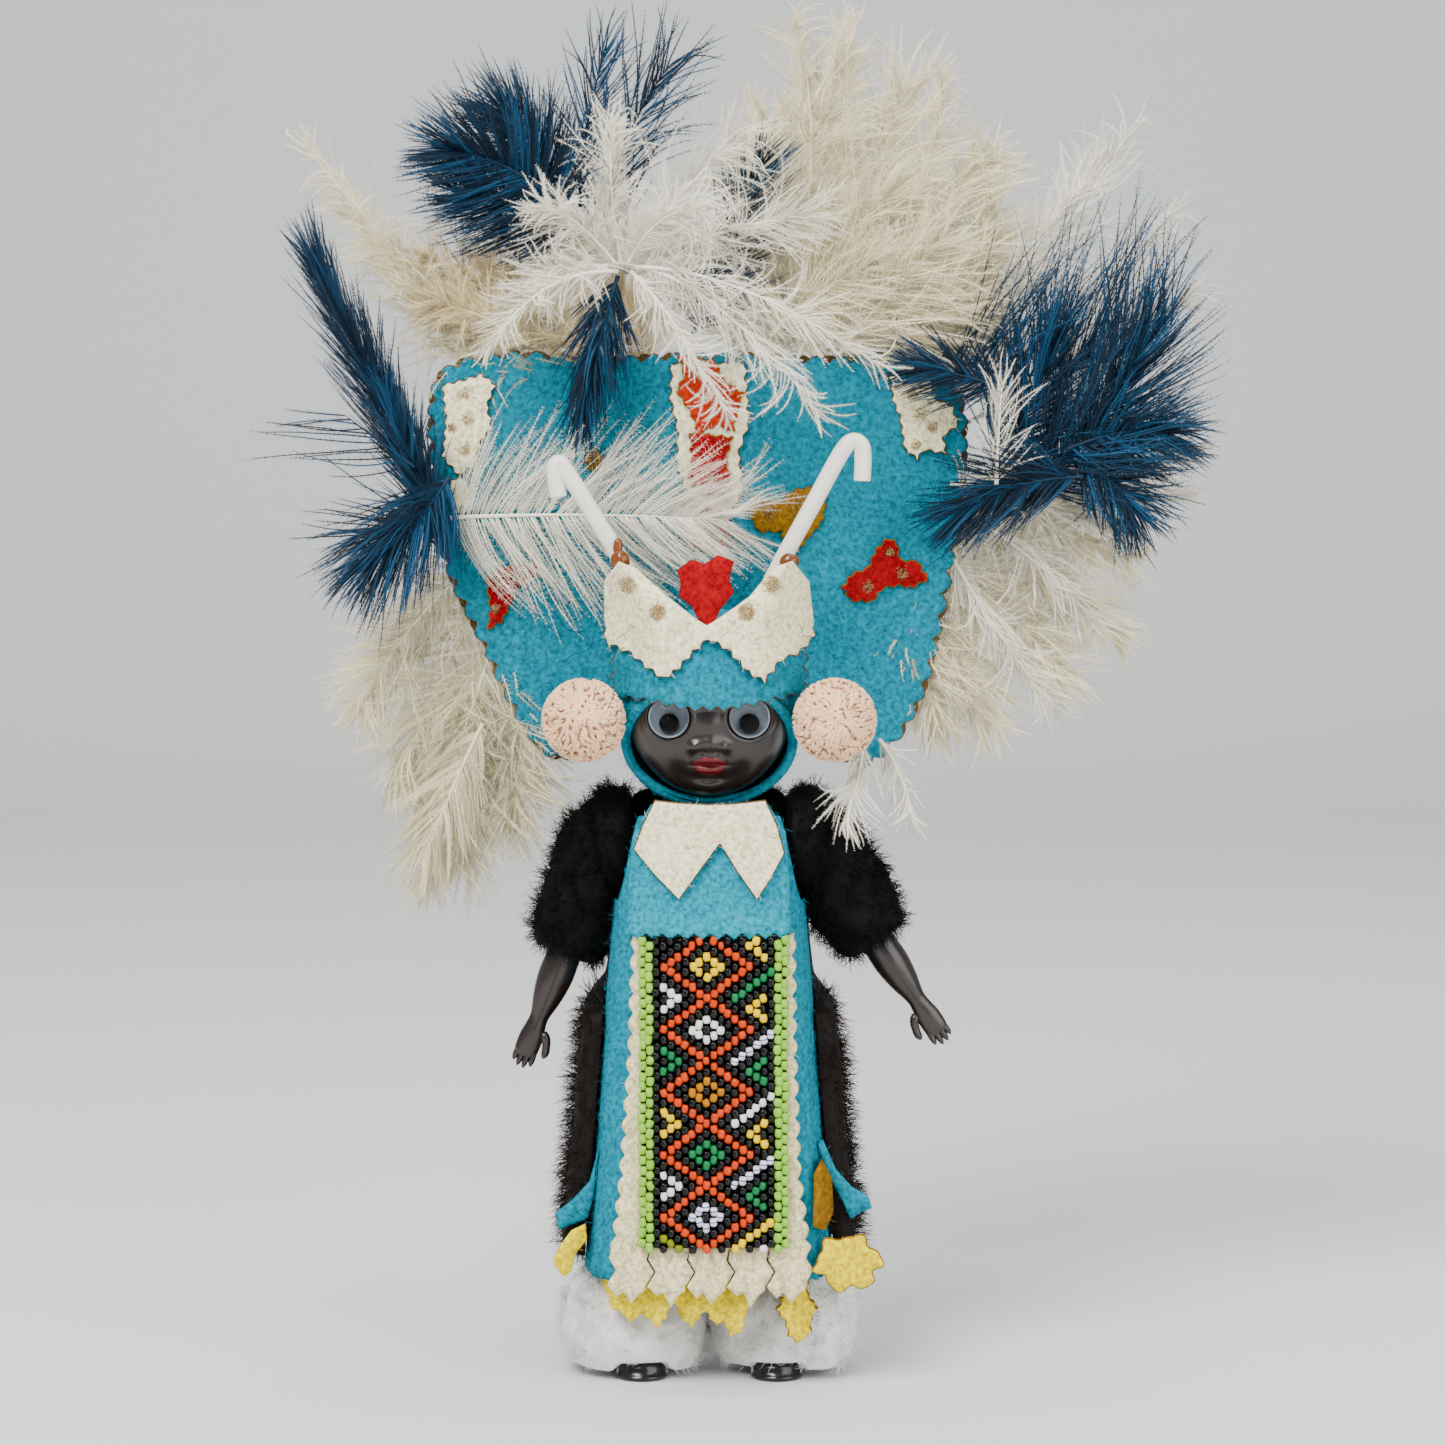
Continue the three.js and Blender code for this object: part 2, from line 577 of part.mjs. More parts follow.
function addHeaddress() {
  const shape = smoothOutline(BOARD_OUTLINE);
  add('headdress_board', plate(shape, BOARD.front, FELT, 2), 'turquoise_felt');
  add('board_backing', plate(shape, BOARD.front + FELT + GAP, FELT, 2), 'card_backing');
  add('centre_strip', plate(outline(CENTRE_STRIP), BOARD.centreStrip, FELT), 'cream_felt');
  for (const [name, details] of Object.entries(PLUMES)) {
    add(name, plume(details), `${name.split('_')[0]}_feather`);
  }
}

addBody();
addLegs();
addFront();
addArms();
addHead();
addHeaddress();

export default doll;
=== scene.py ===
"""The looks of a strung souvenir doll in felt, fur, wool and beads, with an ostrich feather headdress.

Lengths are in millimetres in the CAD frame (+Z up, the doll faces -Y) and become metres in piece().
Left and right are as seen from the front, so left is towards -X.
"""

import json
import math

import bpy
import numpy as np
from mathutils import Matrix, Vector
from mathutils.geometry import delaunay_2d_cdt


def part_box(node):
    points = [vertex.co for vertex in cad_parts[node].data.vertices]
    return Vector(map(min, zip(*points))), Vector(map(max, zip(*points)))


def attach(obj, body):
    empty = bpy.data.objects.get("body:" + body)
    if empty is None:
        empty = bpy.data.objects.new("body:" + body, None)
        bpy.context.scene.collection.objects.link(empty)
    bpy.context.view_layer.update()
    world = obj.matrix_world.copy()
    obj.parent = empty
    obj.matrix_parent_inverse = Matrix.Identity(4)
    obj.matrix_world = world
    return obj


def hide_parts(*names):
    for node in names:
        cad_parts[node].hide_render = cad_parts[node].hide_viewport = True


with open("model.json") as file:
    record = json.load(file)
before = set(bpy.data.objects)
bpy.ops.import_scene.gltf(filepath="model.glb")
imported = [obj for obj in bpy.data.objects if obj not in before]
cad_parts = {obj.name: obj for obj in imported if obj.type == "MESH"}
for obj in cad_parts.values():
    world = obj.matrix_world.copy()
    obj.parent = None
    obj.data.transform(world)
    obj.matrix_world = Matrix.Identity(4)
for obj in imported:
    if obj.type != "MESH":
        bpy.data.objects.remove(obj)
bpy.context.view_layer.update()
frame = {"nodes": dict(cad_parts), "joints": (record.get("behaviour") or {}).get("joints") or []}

MM = 0.001
LEFT, RIGHT = -1, 1
SIDES = (("left", LEFT), ("right", RIGHT))
DENSITY = 1.0  # share of the strands that a working render makes


def box_mm(node):
    """The lowest and highest corner of a CAD node, to a tenth of a millimetre."""
    return [np.round(np.array(corner) / MM, 1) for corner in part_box(node)]


def middle_of(node):
    low, high = box_mm(node)
    return (low + high) / 2


def joint_place(name):
    """Where a joint turns, to a tenth of a millimetre."""
    found = next(joint for joint in frame["joints"] if joint["name"] == name)
    return np.round(np.array(found["pos_m"]) / MM, 1)


# ---------------------------------------------------------------- mesh tools


def unit(vectors):
    return vectors / np.maximum(np.linalg.norm(vectors, axis=-1, keepdims=True), 1e-9)


def smoothstep(low, high, values):
    part = np.clip((values - low) / (high - low), 0, 1)
    return part * part * (3 - 2 * part)


def circle(count):
    """Angles evenly spaced round a full turn."""
    return np.linspace(0, 2 * math.pi, count, endpoint=False)


class Shape:
    """Points and triangles gathered from several closed solids. look is the material of each triangle."""

    def __init__(self):
        self.points, self.triangles, self.looks, self.count = [], [], [], 0

    def add(self, points, triangles, look=0):
        points, triangles = np.asarray(points, float), np.asarray(triangles, int)
        self.points.append(points)
        self.triangles.append(triangles + self.count)
        self.looks.append(np.broadcast_to(look, len(triangles)))
        self.count += len(points)
        return self


def piece(name, shape, body, materials, replaces=(), smooth=True):
    """Makes a Blender object from a Shape, riding on a CAD body."""
    points = np.concatenate(shape.points) * MM
    triangles = np.concatenate(shape.triangles)
    mesh = bpy.data.meshes.new(name)
    mesh.vertices.add(len(points))
    mesh.vertices.foreach_set("co", points.astype(np.float32).ravel())
    mesh.loops.add(triangles.size)
    mesh.loops.foreach_set("vertex_index", triangles.astype(np.int32).ravel())
    mesh.polygons.add(len(triangles))
    mesh.polygons.foreach_set("loop_start", np.arange(0, triangles.size, 3, dtype=np.int32))
    mesh.polygons.foreach_set("material_index", np.concatenate(shape.looks).astype(np.int32))
    mesh.polygons.foreach_set("use_smooth", np.full(len(triangles), smooth))
    mesh.update(calc_edges=True)
    for material in materials if isinstance(materials, (list, tuple)) else [materials]:
        mesh.materials.append(material)
    made = bpy.data.objects.new(name, mesh)
    bpy.context.scene.collection.objects.link(made)
    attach(made, body)
    if replaces:
        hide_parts(*replaces)
    return made


def loft(rings):
    """A closed solid through rings of points (k, m, 3), anticlockwise as seen from the last ring."""
    rings = np.asarray(rings, float)
    count, around, _ = rings.shape
    here = np.arange(count - 1)[:, None] * around + np.arange(around)
    beside = np.arange(count - 1)[:, None] * around + (np.arange(around) + 1) % around
    low, high = count * around, count * around + 1
    first, second = np.arange(around), (np.arange(around) + 1) % around
    last = (count - 1) * around
    faces = [
        np.stack([here, beside, beside + around], -1),
        np.stack([here, beside + around, here + around], -1),
        np.stack([second, first, np.full(around, low)], -1),
        np.stack([first + last, second + last, np.full(around, high)], -1),
    ]
    points = np.concatenate([rings.reshape(-1, 3), rings[:1].mean(1), rings[-1:].mean(1)])
    return points, np.concatenate([part.reshape(-1, 3) for part in faces])


def across(tangents):
    """Two directions square to each tangent."""
    first = unit(np.cross(tangents, np.broadcast_to([0.31, 0.87, 0.38], tangents.shape)))
    return first, np.cross(tangents, first)


def tube_rings(path, radii, around=24, flatten=1.0):
    """Rings round one path (k, 3), which may be flattened towards y."""
    tangents = unit(np.gradient(np.asarray(path, float), axis=0))
    first = unit(np.cross(tangents, [0, 1, 0]))
    second = np.cross(tangents, first)
    angle = circle(around)[None, :, None]
    radii = np.asarray(radii, float)[:, None, None]
    ring = np.cos(angle) * first[:, None] + np.sin(angle) * flatten * second[:, None]
    return np.asarray(path, float)[:, None] + radii * ring


def strands(paths, radii, sides=3):
    """Closed tapered strands along paths (n, k, 3) with radii (k,) and a pointed tip."""
    count, steps, _ = paths.shape
    first, second = across(unit(np.gradient(paths, axis=1)))
    angle = (2 * math.pi * np.arange(sides) / sides)[None, None, :, None]
    ring = np.cos(angle) * first[:, :-1, None] + np.sin(angle) * second[:, :-1, None]
    rings = paths[:, :-1, None] + np.asarray(radii)[None, :-1, None, None] * ring
    points = np.concatenate([rings.reshape(count, -1, 3), paths[:, -1:]], axis=1)
    one = []
    for i in range(steps - 2):
        for j in range(sides):
            a, b = i * sides + j, i * sides + (j + 1) % sides
            one += [(a, b, b + sides), (a, b + sides, a + sides)]
    last, tip = (steps - 2) * sides, (steps - 1) * sides
    one += [(last + j, last + (j + 1) % sides, tip) for j in range(sides)]
    one += [(0, j + 1, j) for j in range(1, sides - 1)]
    triangles = np.array(one)[None] + (np.arange(count) * (tip + 1))[:, None, None]
    return points.reshape(-1, 3), triangles.reshape(-1, 3)


def spikes(bases, tips, radius):
    """A slender closed tetrahedron from each base to its tip."""
    return strands(np.stack([bases, tips], axis=1), [radius, 0])


def grow(starts, headings, lengths, steps, pull=0.0, wave=0.0, rng=None):
    """Paths (n, steps + 1, 3) that set out along their headings and bend towards pull, wandering a little."""
    points, heading = [starts], headings
    step = (np.asarray(lengths, float) / steps).reshape(-1, 1)
    for _ in range(steps):
        heading = unit(heading + pull + wave * rng.normal(size=starts.shape))
        points.append(points[-1] + heading * step)
    return np.stack(points, axis=1)


def scattered(points, triangles, count, rng):
    """Random places on a surface, with the surface's normals there."""
    a, b, c = (points[triangles[:, k]] for k in range(3))
    normals = np.cross(b - a, c - a)
    size = np.linalg.norm(normals, axis=1)
    chosen = rng.choice(len(triangles), int(count), p=size / size.sum())
    u, v = rng.random((2, int(count), 1))
    fold = u + v > 1
    u, v = np.where(fold, 1 - u, u), np.where(fold, 1 - v, v)
    places = a[chosen] + u * (b - a)[chosen] + v * (c - a)[chosen]
    return places, unit(normals)[chosen]


# ---------------------------------------------------------------- materials


def material(name, color, roughness, **inputs):
    """A Principled material whose uniform values are set on the shader's own sockets."""
    made = bpy.data.materials.new(name)
    made.use_nodes = True
    shader = made.node_tree.nodes["Principled BSDF"]
    shader.inputs["Base Color"].default_value = (*color, 1)
    shader.inputs["Roughness"].default_value = roughness
    for socket, value in inputs.items():
        shader.inputs[socket.replace("_", " ")].default_value = value
    return made


def noise(tree, scale, detail=4.0, stretch=(1, 1, 1)):
    """A noise texture fixed to the piece, with its scale in features per metre."""
    where = tree.nodes.new("ShaderNodeTexCoord")
    mapping = tree.nodes.new("ShaderNodeMapping")
    mapping.inputs["Scale"].default_value = stretch
    texture = tree.nodes.new("ShaderNodeTexNoise")
    texture.inputs["Scale"].default_value = scale
    texture.inputs["Detail"].default_value = detail
    tree.links.new(where.outputs["Object"], mapping.inputs["Vector"])
    tree.links.new(mapping.outputs["Vector"], texture.inputs["Vector"])
    return texture.outputs["Fac"]


def mottle(made, stops, scale, detail=4.0, stretch=(1, 1, 1), socket="Base Color"):
    """Varies one socket between stops of (position, colour) along a noise."""
    tree = made.node_tree
    ramp = tree.nodes.new("ShaderNodeValToRGB")
    marks = ramp.color_ramp.elements
    for mark, (position, color) in zip(list(marks), (stops[0], stops[-1])):
        mark.position = position
        mark.color = (*color, 1)
    for position, color in stops[1:-1]:
        marks.new(position).color = (*color, 1)
    tree.links.new(noise(tree, scale, detail, stretch), ramp.inputs["Fac"])
    tree.links.new(ramp.outputs["Color"], tree.nodes["Principled BSDF"].inputs[socket])
    return made


def rough_up(made, scale, strength, distance, stretch=(1, 1, 1)):
    """Adds a fine bump from noise; distance is in metres."""
    tree = made.node_tree
    bump = tree.nodes.new("ShaderNodeBump")
    bump.inputs["Strength"].default_value = strength
    bump.inputs["Distance"].default_value = distance
    tree.links.new(noise(tree, scale, 6.0, stretch), bump.inputs["Height"])
    tree.links.new(bump.outputs["Normal"], tree.nodes["Principled BSDF"].inputs["Normal"])
    return made


def shade(color, factor):
    return tuple(min(1.0, value * factor) for value in color)


def felt(name, color):
    """Pressed craft felt: matted fibres, patchy dye and a soft sheen."""
    made = material(name, color, 0.97, Specular_IOR_Level=0.08)
    mottle(made, [(0.32, shade(color, 0.62)), (0.5, color), (0.68, shade(color, 1.35))], 900, 12.0)
    return rough_up(made, 3200, 0.5, 0.00035)


def tones(name, color, roughness, factors, **inputs):
    """One plain material per tone, for strands that are too fine to carry a pattern."""
    inputs = {"Specular_IOR_Level": 0.12, **inputs}
    return [material(f"{name}_{i}", shade(color, factor), roughness, **inputs)
            for i, factor in enumerate(factors)]


def brown_plastic():
    color = (0.0165, 0.0100, 0.0072)
    made = material("brown_plastic", color, 0.3, Coat_Weight=0.15, Coat_Roughness=0.2)
    mottle(made, [(0.35, shade(color, 0.75)), (0.6, color), (0.85, shade(color, 1.7))], 160, 5.0)
    return rough_up(made, 900, 0.12, 0.0003)


def glossy(name, color, roughness, dark=0.8, scale=300, shine=0.5):
    made = material(name, color, roughness, Specular_IOR_Level=shine)
    mottle(made, [(0.3, shade(color, dark)), (0.7, color)], scale, 3.0)
    return rough_up(made, 1500, 0.08, 0.0002)


# Each felt: its slot, the name of its material, its colour and the colour of its loose fibres.
FELTS = {
    "turquoise": ("turquoise_felt", "turquoise_felt", (0.0015, 0.195, 0.275), (0.012, 0.270, 0.36)),
    "light": ("turquoise_felt", "light_turquoise_felt", (0.003, 0.245, 0.335), (0.02, 0.33, 0.42)),
    "cream": ("cream_felt", "cream_felt", (0.88, 0.80, 0.50), (0.92, 0.86, 0.64)),
    "apron": ("cream_felt", "apron_felt", (0.74, 0.64, 0.36), (0.90, 0.82, 0.58)),
    "yellow": ("yellow_felt", "yellow_felt", (0.80, 0.60, 0.0), (0.84, 0.64, 0.001)),
    "red": ("red_felt", "red_felt", (0.28, 0.0015, 0.005), (0.34, 0.008, 0.010)),
    "orange": ("red_felt", "orange_felt", (0.43, 0.020, 0.002), (0.5, 0.04, 0.01)),
    "mustard": ("mustard_felt", "mustard_felt", (0.22, 0.105, 0.005), (0.30, 0.17, 0.02)),
    "backing": ("card_backing", "backing_card", (0.115, 0.072, 0.028), (0.24, 0.15, 0.06)),
    "thread": ("seed_beads", "black_thread_net", (0.006, 0.006, 0.007), (0.01, 0.01, 0.01)),
}
FELT = {look: felt(name, color) for look, (_, name, color, _) in FELTS.items()}
GLITTER = tones("gold_glitter", (0.62, 0.47, 0.26), 0.35, (0.6, 1.0, 1.35), Metallic=0.85)
PLUMAGE = {
    "blue": tones("blue_plume", (0.0030, 0.0290, 0.066), 0.55, (0.35, 0.7, 1.15, 2.2),
                  Specular_IOR_Level=0.25),
    "cream": tones("cream_plume", (0.93, 0.84, 0.57), 0.8, (0.72, 0.9, 1.0, 1.07)),
    "white": tones("white_plume", (0.95, 0.90, 0.75), 0.8, (0.74, 0.9, 1.0, 1.05)),
    "straw": tones("straw_plume", (0.84, 0.70, 0.42), 0.8, (0.66, 0.86, 1.0, 1.12)),
}

# ---------------------------------------------------------------- cut felt

FELT_THICKNESS = 1.2


def resampled(points, spacing):
    """A closed outline as anticlockwise points at an even spacing."""
    points = np.asarray(points, float)
    following = np.roll(points, -1, axis=0)
    if (points[:, 0] * following[:, 1] - following[:, 0] * points[:, 1]).sum() < 0:
        points = points[::-1]
    closed = np.concatenate([points, points[:1]])
    along = np.concatenate([[0], np.cumsum(np.linalg.norm(np.diff(closed, axis=0), axis=1))])
    where = np.linspace(0, along[-1], max(12, int(along[-1] / spacing)), endpoint=False)
    return np.stack([np.interp(where, along, closed[:, k]) for k in (0, 1)], axis=-1)


def through(before, here, after, beyond, part):
    """A smooth curve from here to after, whose slope takes in the points before and beyond them."""
    return here + 0.5 * part * (after - before) + part**2 * (before - 2.5 * here + 2 * after - 0.5 * beyond) \
        + part**3 * (1.5 * (here - after) + 0.5 * (beyond - before))


def cut(corners):
    """A felt scrap's outline through its corners, as closely spaced points."""
    return resampled(corners, 0.3)


def smooth_outline(corners, spacing=0.45):
    """A smooth closed curve through its corners."""
    corners = np.asarray(corners, float)
    before, here, after, beyond = (np.roll(corners, shift, axis=0)[:, None] for shift in (1, 0, -1, -2))
    part = np.linspace(0, 1, 16, endpoint=False)[None, :, None]
    return resampled(through(before, here, after, beyond, part).reshape(-1, 2), spacing)


def outline_normals(outline):
    ahead = unit(np.roll(outline, -1, axis=0) - np.roll(outline, 1, axis=0))
    return np.stack([ahead[:, 1], -ahead[:, 0]], axis=-1)


def pinked(outline, pitch=3.4, depth=1.0, rounded=False, where=None):
    """Gives an outline the teeth of pinking shears, or rounded scallops. where(outline) is its strength."""
    along = np.linalg.norm(outline - np.roll(outline, 1, axis=0), axis=1).cumsum()
    teeth = max(3, round(along[-1] / pitch))
    phase = (along / along[-1] * teeth) % 1
    wave = np.abs(np.sin(math.pi * phase)) if rounded else 1 - np.abs(2 * phase - 1)
    strength = 1 if where is None else where(outline)[:, None]
    return outline + outline_normals(outline) * (wave[:, None] - 0.6) * depth * strength


def area_of(outline):
    following = np.roll(outline, -1, axis=0)
    return abs((outline[:, 0] * following[:, 1] - following[:, 0] * outline[:, 1]).sum()) / 2


def inside(points, outline):
    """Which points are inside an outline."""
    a, b = outline[None], np.roll(outline, -1, axis=0)[None]
    x, y = points[:, None, 0], points[:, None, 1]
    spans = (a[..., 1] > y) != (b[..., 1] > y)
    rise = np.where(b[..., 1] == a[..., 1], 1e-9, b[..., 1] - a[..., 1])
    crossing = a[..., 0] + (y - a[..., 1]) * (b[..., 0] - a[..., 0]) / rise
    return (spans & (x < crossing)).sum(1) % 2 == 1


def filling(outline, spacing):
    """A grid of points inside an outline and a little way from it."""
    low, high = outline.min(0), outline.max(0)
    x, y = np.meshgrid(np.arange(low[0], high[0], spacing), np.arange(low[1], high[1], spacing * 0.87))
    x = x + (np.arange(len(x)) % 2)[:, None] * spacing / 2
    grid = np.stack([x, y], axis=-1).reshape(-1, 2)
    grid = grid[inside(grid, outline)]
    gap = np.linalg.norm(grid[:, None] - outline[None, ::2], axis=-1).min(1)
    return grid[gap > 0.45 * spacing]


def wobble(places, amount, rng):
    """A gentle unevenness of cloth, as a height at each flat place."""
    height = np.zeros(len(places))
    for wavelength in (9, 14, 23, 37):
        direction = unit(rng.normal(size=2))
        height += np.sin(2 * math.pi * places @ direction / wavelength + rng.uniform(0, 6)) * wavelength / 60
    return amount * height


def wrapped_width(outline, place):
    """How wide a sheet lies when it is unwrapped, measured across its middle."""
    u = np.linspace(outline[:, 0].min(), outline[:, 0].max(), 80)
    line = place(u, np.full(80, outline[:, 1].mean()), 0 * u)
    return np.linalg.norm(np.diff(line, axis=0), axis=1).sum()


FUZZ = {"body": [], "head": []}


def felt_sheet(name, outline, place, body, look, edge="", thickness=FELT_THICKNESS, spacing=1.5, ripple=0.25,
               replaces=(), fuzz=0.5, bend=None, stained=None):
    """Felt cut to a flat outline and laid where place(u, v, height) puts it.

    edge is the felt whose colour the cut edge has taken, as with dried glue, where stained(outline) is true,
    and bend(flat) an extra height.
    """
    rng = np.random.default_rng(sum(map(ord, name)))
    rim = min(0.3, 0.4 * thickness)
    inner = outline - rim * outline_normals(outline)
    count = len(outline)
    flat, faces, boundary = filled(inner, spacing)
    raised = wobble(np.concatenate([flat, outline]), ripple, rng)
    if bend:
        raised = raised + bend(np.concatenate([flat, outline]))
    lift, rim_lift = raised[: len(flat)], raised[len(flat):]
    front = place(flat[:, 0], flat[:, 1], thickness + lift)
    back = place(flat[:, 0], flat[:, 1], lift)
    edge_points = place(outline[:, 0], outline[:, 1], thickness / 2 + rim_lift)
    here, after = np.arange(count), (np.arange(count) + 1) % count
    out, out_after = here + 2 * len(flat), after + 2 * len(flat)
    top, top_after = boundary[here], boundary[after]
    under, under_after = top + len(flat), top_after + len(flat)
    strips = [(out, out_after, top_after), (out, top_after, top),
              (out_after, out, under), (out_after, under, under_after)]
    edge_look = np.full(count, bool(edge)) if stained is None else stained(outline)
    shape = Shape().add(
        np.concatenate([front, back, edge_points]),
        np.concatenate([faces, faces[:, ::-1] + len(flat)] + [np.stack(strip, -1) for strip in strips]),
        np.concatenate([np.zeros(2 * len(faces)), np.tile(edge_look, 4)]),
    )
    made = piece(name, shape, body, [FELT[look]] + ([FELT[edge]] if edge else []), replaces)
    width, length = outline.max(0) - outline.min(0)
    if min(width, length) >= 10:
        width = wrapped_width(outline, place)
    places, normals = scattered(front, faces, 2 * area_of(outline) * fuzz * DENSITY, rng)
    FUZZ[body].append((look, places, normals))
    return made


def filled(outline, spacing):
    """Flat points and triangles that fill an outline, and where each of its own points is among them."""
    count = len(outline)
    flat = np.concatenate([outline, filling(outline, spacing)])
    sides = [(i, (i + 1) % count) for i in range(count)]
    points, _, faces, origins, *_ = delaunay_2d_cdt([Vector(point) for point in flat], sides, [], 1, 1e-6)
    boundary = np.zeros(count, int)
    for i, known in enumerate(origins):
        for old in known:
            if old < count:
                boundary[old] = i
    return np.array([(point.x, point.y) for point in points]), np.array(faces), boundary


def fuzz_pieces():
    """The loose fibres on the faces of all felt, as one piece for each body."""
    names = sorted(FELTS)
    for body, sheets in FUZZ.items():
        rng = np.random.default_rng(5)
        shape = Shape()
        for look, places, normals in sheets:
            heading = rng.normal(size=places.shape)
            upright = (heading * normals).sum(-1, keepdims=True)
            heading = unit(heading - 0.85 * upright * normals + 0.15 * normals)
            paths = grow(places, heading, rng.uniform(0.8, 2.6, len(places)), 4, -0.07 * normals, 0.35, rng)
            tone = 2 * names.index(look) + (rng.random(len(places)) < 0.45)
            points, triangles = strands(paths, [0.042, 0.042, 0.036, 0.03, 0])
            shape.add(points, triangles, np.repeat(tone, len(triangles) // max(1, len(tone))))
        fibres = []
        for name in names:
            color = FELTS[name][-1]
            fibres.append(material(f"{body}_fuzz_{name}", color, 0.95))
            fibres.append(material(f"{body}_dark_fuzz_{name}", shade(color, 0.3), 0.95))
        piece(f"{body}_felt_fuzz", shape, body, fibres)


def facing_front(back):
    """Places flat cloth upright, with its back at one depth."""
    return lambda u, v, height: np.stack([u, back - height, v], axis=-1)


TUNIC_LOW, TUNIC_HIGH = box_mm("tunic")
BODY = {"half_width": 19.3, "half_depth": 16.0, "top": TUNIC_HIGH[2], "hem": TUNIC_LOW[2], "flare": 0.0038}
HEAD_LOW, HEAD_HIGH = box_mm("head_shell")
HEAD_HALF_HEIGHT = 20.5
HEAD = {
    "centre": np.array([0, (HEAD_LOW[1] + HEAD_HIGH[1]) / 2, HEAD_HIGH[2] - HEAD_HALF_HEIGHT]),
    "size": np.array([HEAD_HIGH[0], (HEAD_HIGH[1] - HEAD_LOW[1]) / 2, HEAD_HALF_HEIGHT]),
}


def body_scale(height):
    return 1 + BODY["flare"] * (BODY["top"] - height)


def on_body(away):
    """Places cloth on the front of the flared body, at a distance outside the tunic's inner face."""
    def place(u, v, height):
        scale, out = body_scale(v), away + height
        part = np.clip(np.abs(u) / ((BODY["half_width"] + out) * scale), 0, 0.975)
        return np.stack([u, -(BODY["half_depth"] + out) * scale * (1 - part**4) ** 0.25, v], axis=-1)
    return place


def round_body(angle, height, away):
    """The body's surface at an angle from +X towards +Y and a distance outside the tunic's inner face."""
    scale = body_scale(height)
    power = 0.5
    x = np.sign(np.cos(angle)) * np.abs(np.cos(angle)) ** power * (BODY["half_width"] + away) * scale
    y = np.sign(np.sin(angle)) * np.abs(np.sin(angle)) ** power * (BODY["half_depth"] + away) * scale
    return np.stack([x, y, np.broadcast_to(height, x.shape)], axis=-1)


def round_head(away):
    """Places cloth on an upright oval tube round the front of the head."""
    def place(u, v, height):
        wide, deep = HEAD["size"][0] + away + height, HEAD["size"][1] + away + height
        part = np.clip(np.abs(u) / wide, 0, 0.985)
        return np.stack([u, HEAD["centre"][1] - deep * np.sqrt(1 - part**2), v], axis=-1)
    return place


def ring_solid(rings):
    """A closed solid like a tyre, through rings (k, m, 3) that join up with each other at both ends."""
    rings = np.asarray(rings, float)
    count, around, _ = rings.shape
    i, j = np.meshgrid(np.arange(count), np.arange(around), indexing="ij")
    a, b = i * around + j, i * around + (j + 1) % around
    c, d = (i + 1) % count * around + (j + 1) % around, (i + 1) % count * around + j
    triangles = np.concatenate([np.stack([a, b, c], -1).reshape(-1, 3),
                                np.stack([a, c, d], -1).reshape(-1, 3)])
    return outward(rings.reshape(-1, 3), triangles)


def outward(points, triangles):
    """Turns a closed solid's triangles to face outwards."""
    a, b, c = (points[triangles[:, k]] for k in range(3))
    return points, triangles if (a * np.cross(b, c)).sum() > 0 else triangles[:, ::-1]


def closed(rings):
    """A closed solid through rings, with its triangles facing outwards."""
    return outward(*loft(rings))


def slab(front, back):
    """A closed solid between two grids of points (rows, columns, 3)."""
    rows, columns, _ = front.shape
    outer = np.arange(rows * columns).reshape(rows, columns)
    inner = outer + rows * columns
    faces = []
    for grid, flip in ((outer, False), (inner, True)):
        a, b, c, d = grid[:-1, :-1], grid[:-1, 1:], grid[1:, 1:], grid[1:, :-1]
        for corners in ((a, b, c), (a, c, d)):
            faces.append(np.stack(corners[::-1] if flip else corners, -1).reshape(-1, 3))
    border = np.concatenate([outer[0], outer[1:, -1], outer[-1, -2::-1], outer[-2:0:-1, 0]])
    behind, after = border + rows * columns, np.roll(border, -1)
    faces.append(np.stack([border, behind, np.roll(behind, -1)], -1))
    faces.append(np.stack([border, np.roll(behind, -1), after], -1))
    points = np.concatenate([front.reshape(-1, 3), back.reshape(-1, 3)])
    return outward(points, np.concatenate(faces))


def ball(centre, size, around=24, rows=16):
    """A closed oval ball."""
    polar = np.linspace(0.02, math.pi - 0.02, rows)[:, None]
    angle = circle(around)[None]
    rings = np.stack([np.sin(polar) * np.cos(angle), np.sin(polar) * np.sin(angle),
                      -np.cos(polar) * np.ones_like(angle)], axis=-1)
    return closed(np.asarray(centre) + np.asarray(size) * rings)


# ---------------------------------------------------------------- the dress


def tunic():
    """The turquoise tunic: a flared tube with soft folds, a pinked hem and dipped armholes."""
    rng = np.random.default_rng(3)
    around, rows, teeth_round, tooth, armhole, gap = 300, 46, 46, 1.1, 20, 0.05
    angle = circle(around)
    side = np.abs(np.cos(angle)) ** 0.5
    top = BODY["top"] - armhole * smoothstep(0.78, 0.97, side)
    teeth = 1 - np.abs(2 * (angle / (2 * math.pi) * teeth_round % 1) - 1)
    hem = BODY["hem"] + 0.6 - tooth * teeth
    part = np.linspace(0, 1, rows)[:, None]
    height = hem + (top - hem) * part
    folds = sum(np.sin(angle * k + rng.uniform(0, 6)) * 0.16 for k in (5, 8, 13)) * (1 - part) ** 1.3
    outer = round_body(angle, height, FELT_THICKNESS + folds - gap)
    inner = round_body(angle, height, folds + gap)
    edge = round_body(angle, height[:1] - 0.25, FELT_THICKNESS / 2 + folds[:1])
    shape = Shape().add(*ring_solid(np.concatenate([edge, outer, inner[::-1]])))
    made = piece("tunic_cloth", shape, "body", FELT["turquoise"], ["tunic"])
    front = outer.reshape(-1, 3)
    keep = front[:, 1] < 0
    count = int(3200 * DENSITY)
    places = front[keep][rng.integers(0, keep.sum(), count)] + rng.normal(0, 0.3, (count, 3))
    FUZZ["body"].append(("turquoise", places, unit(places * [1, 1, 0])))


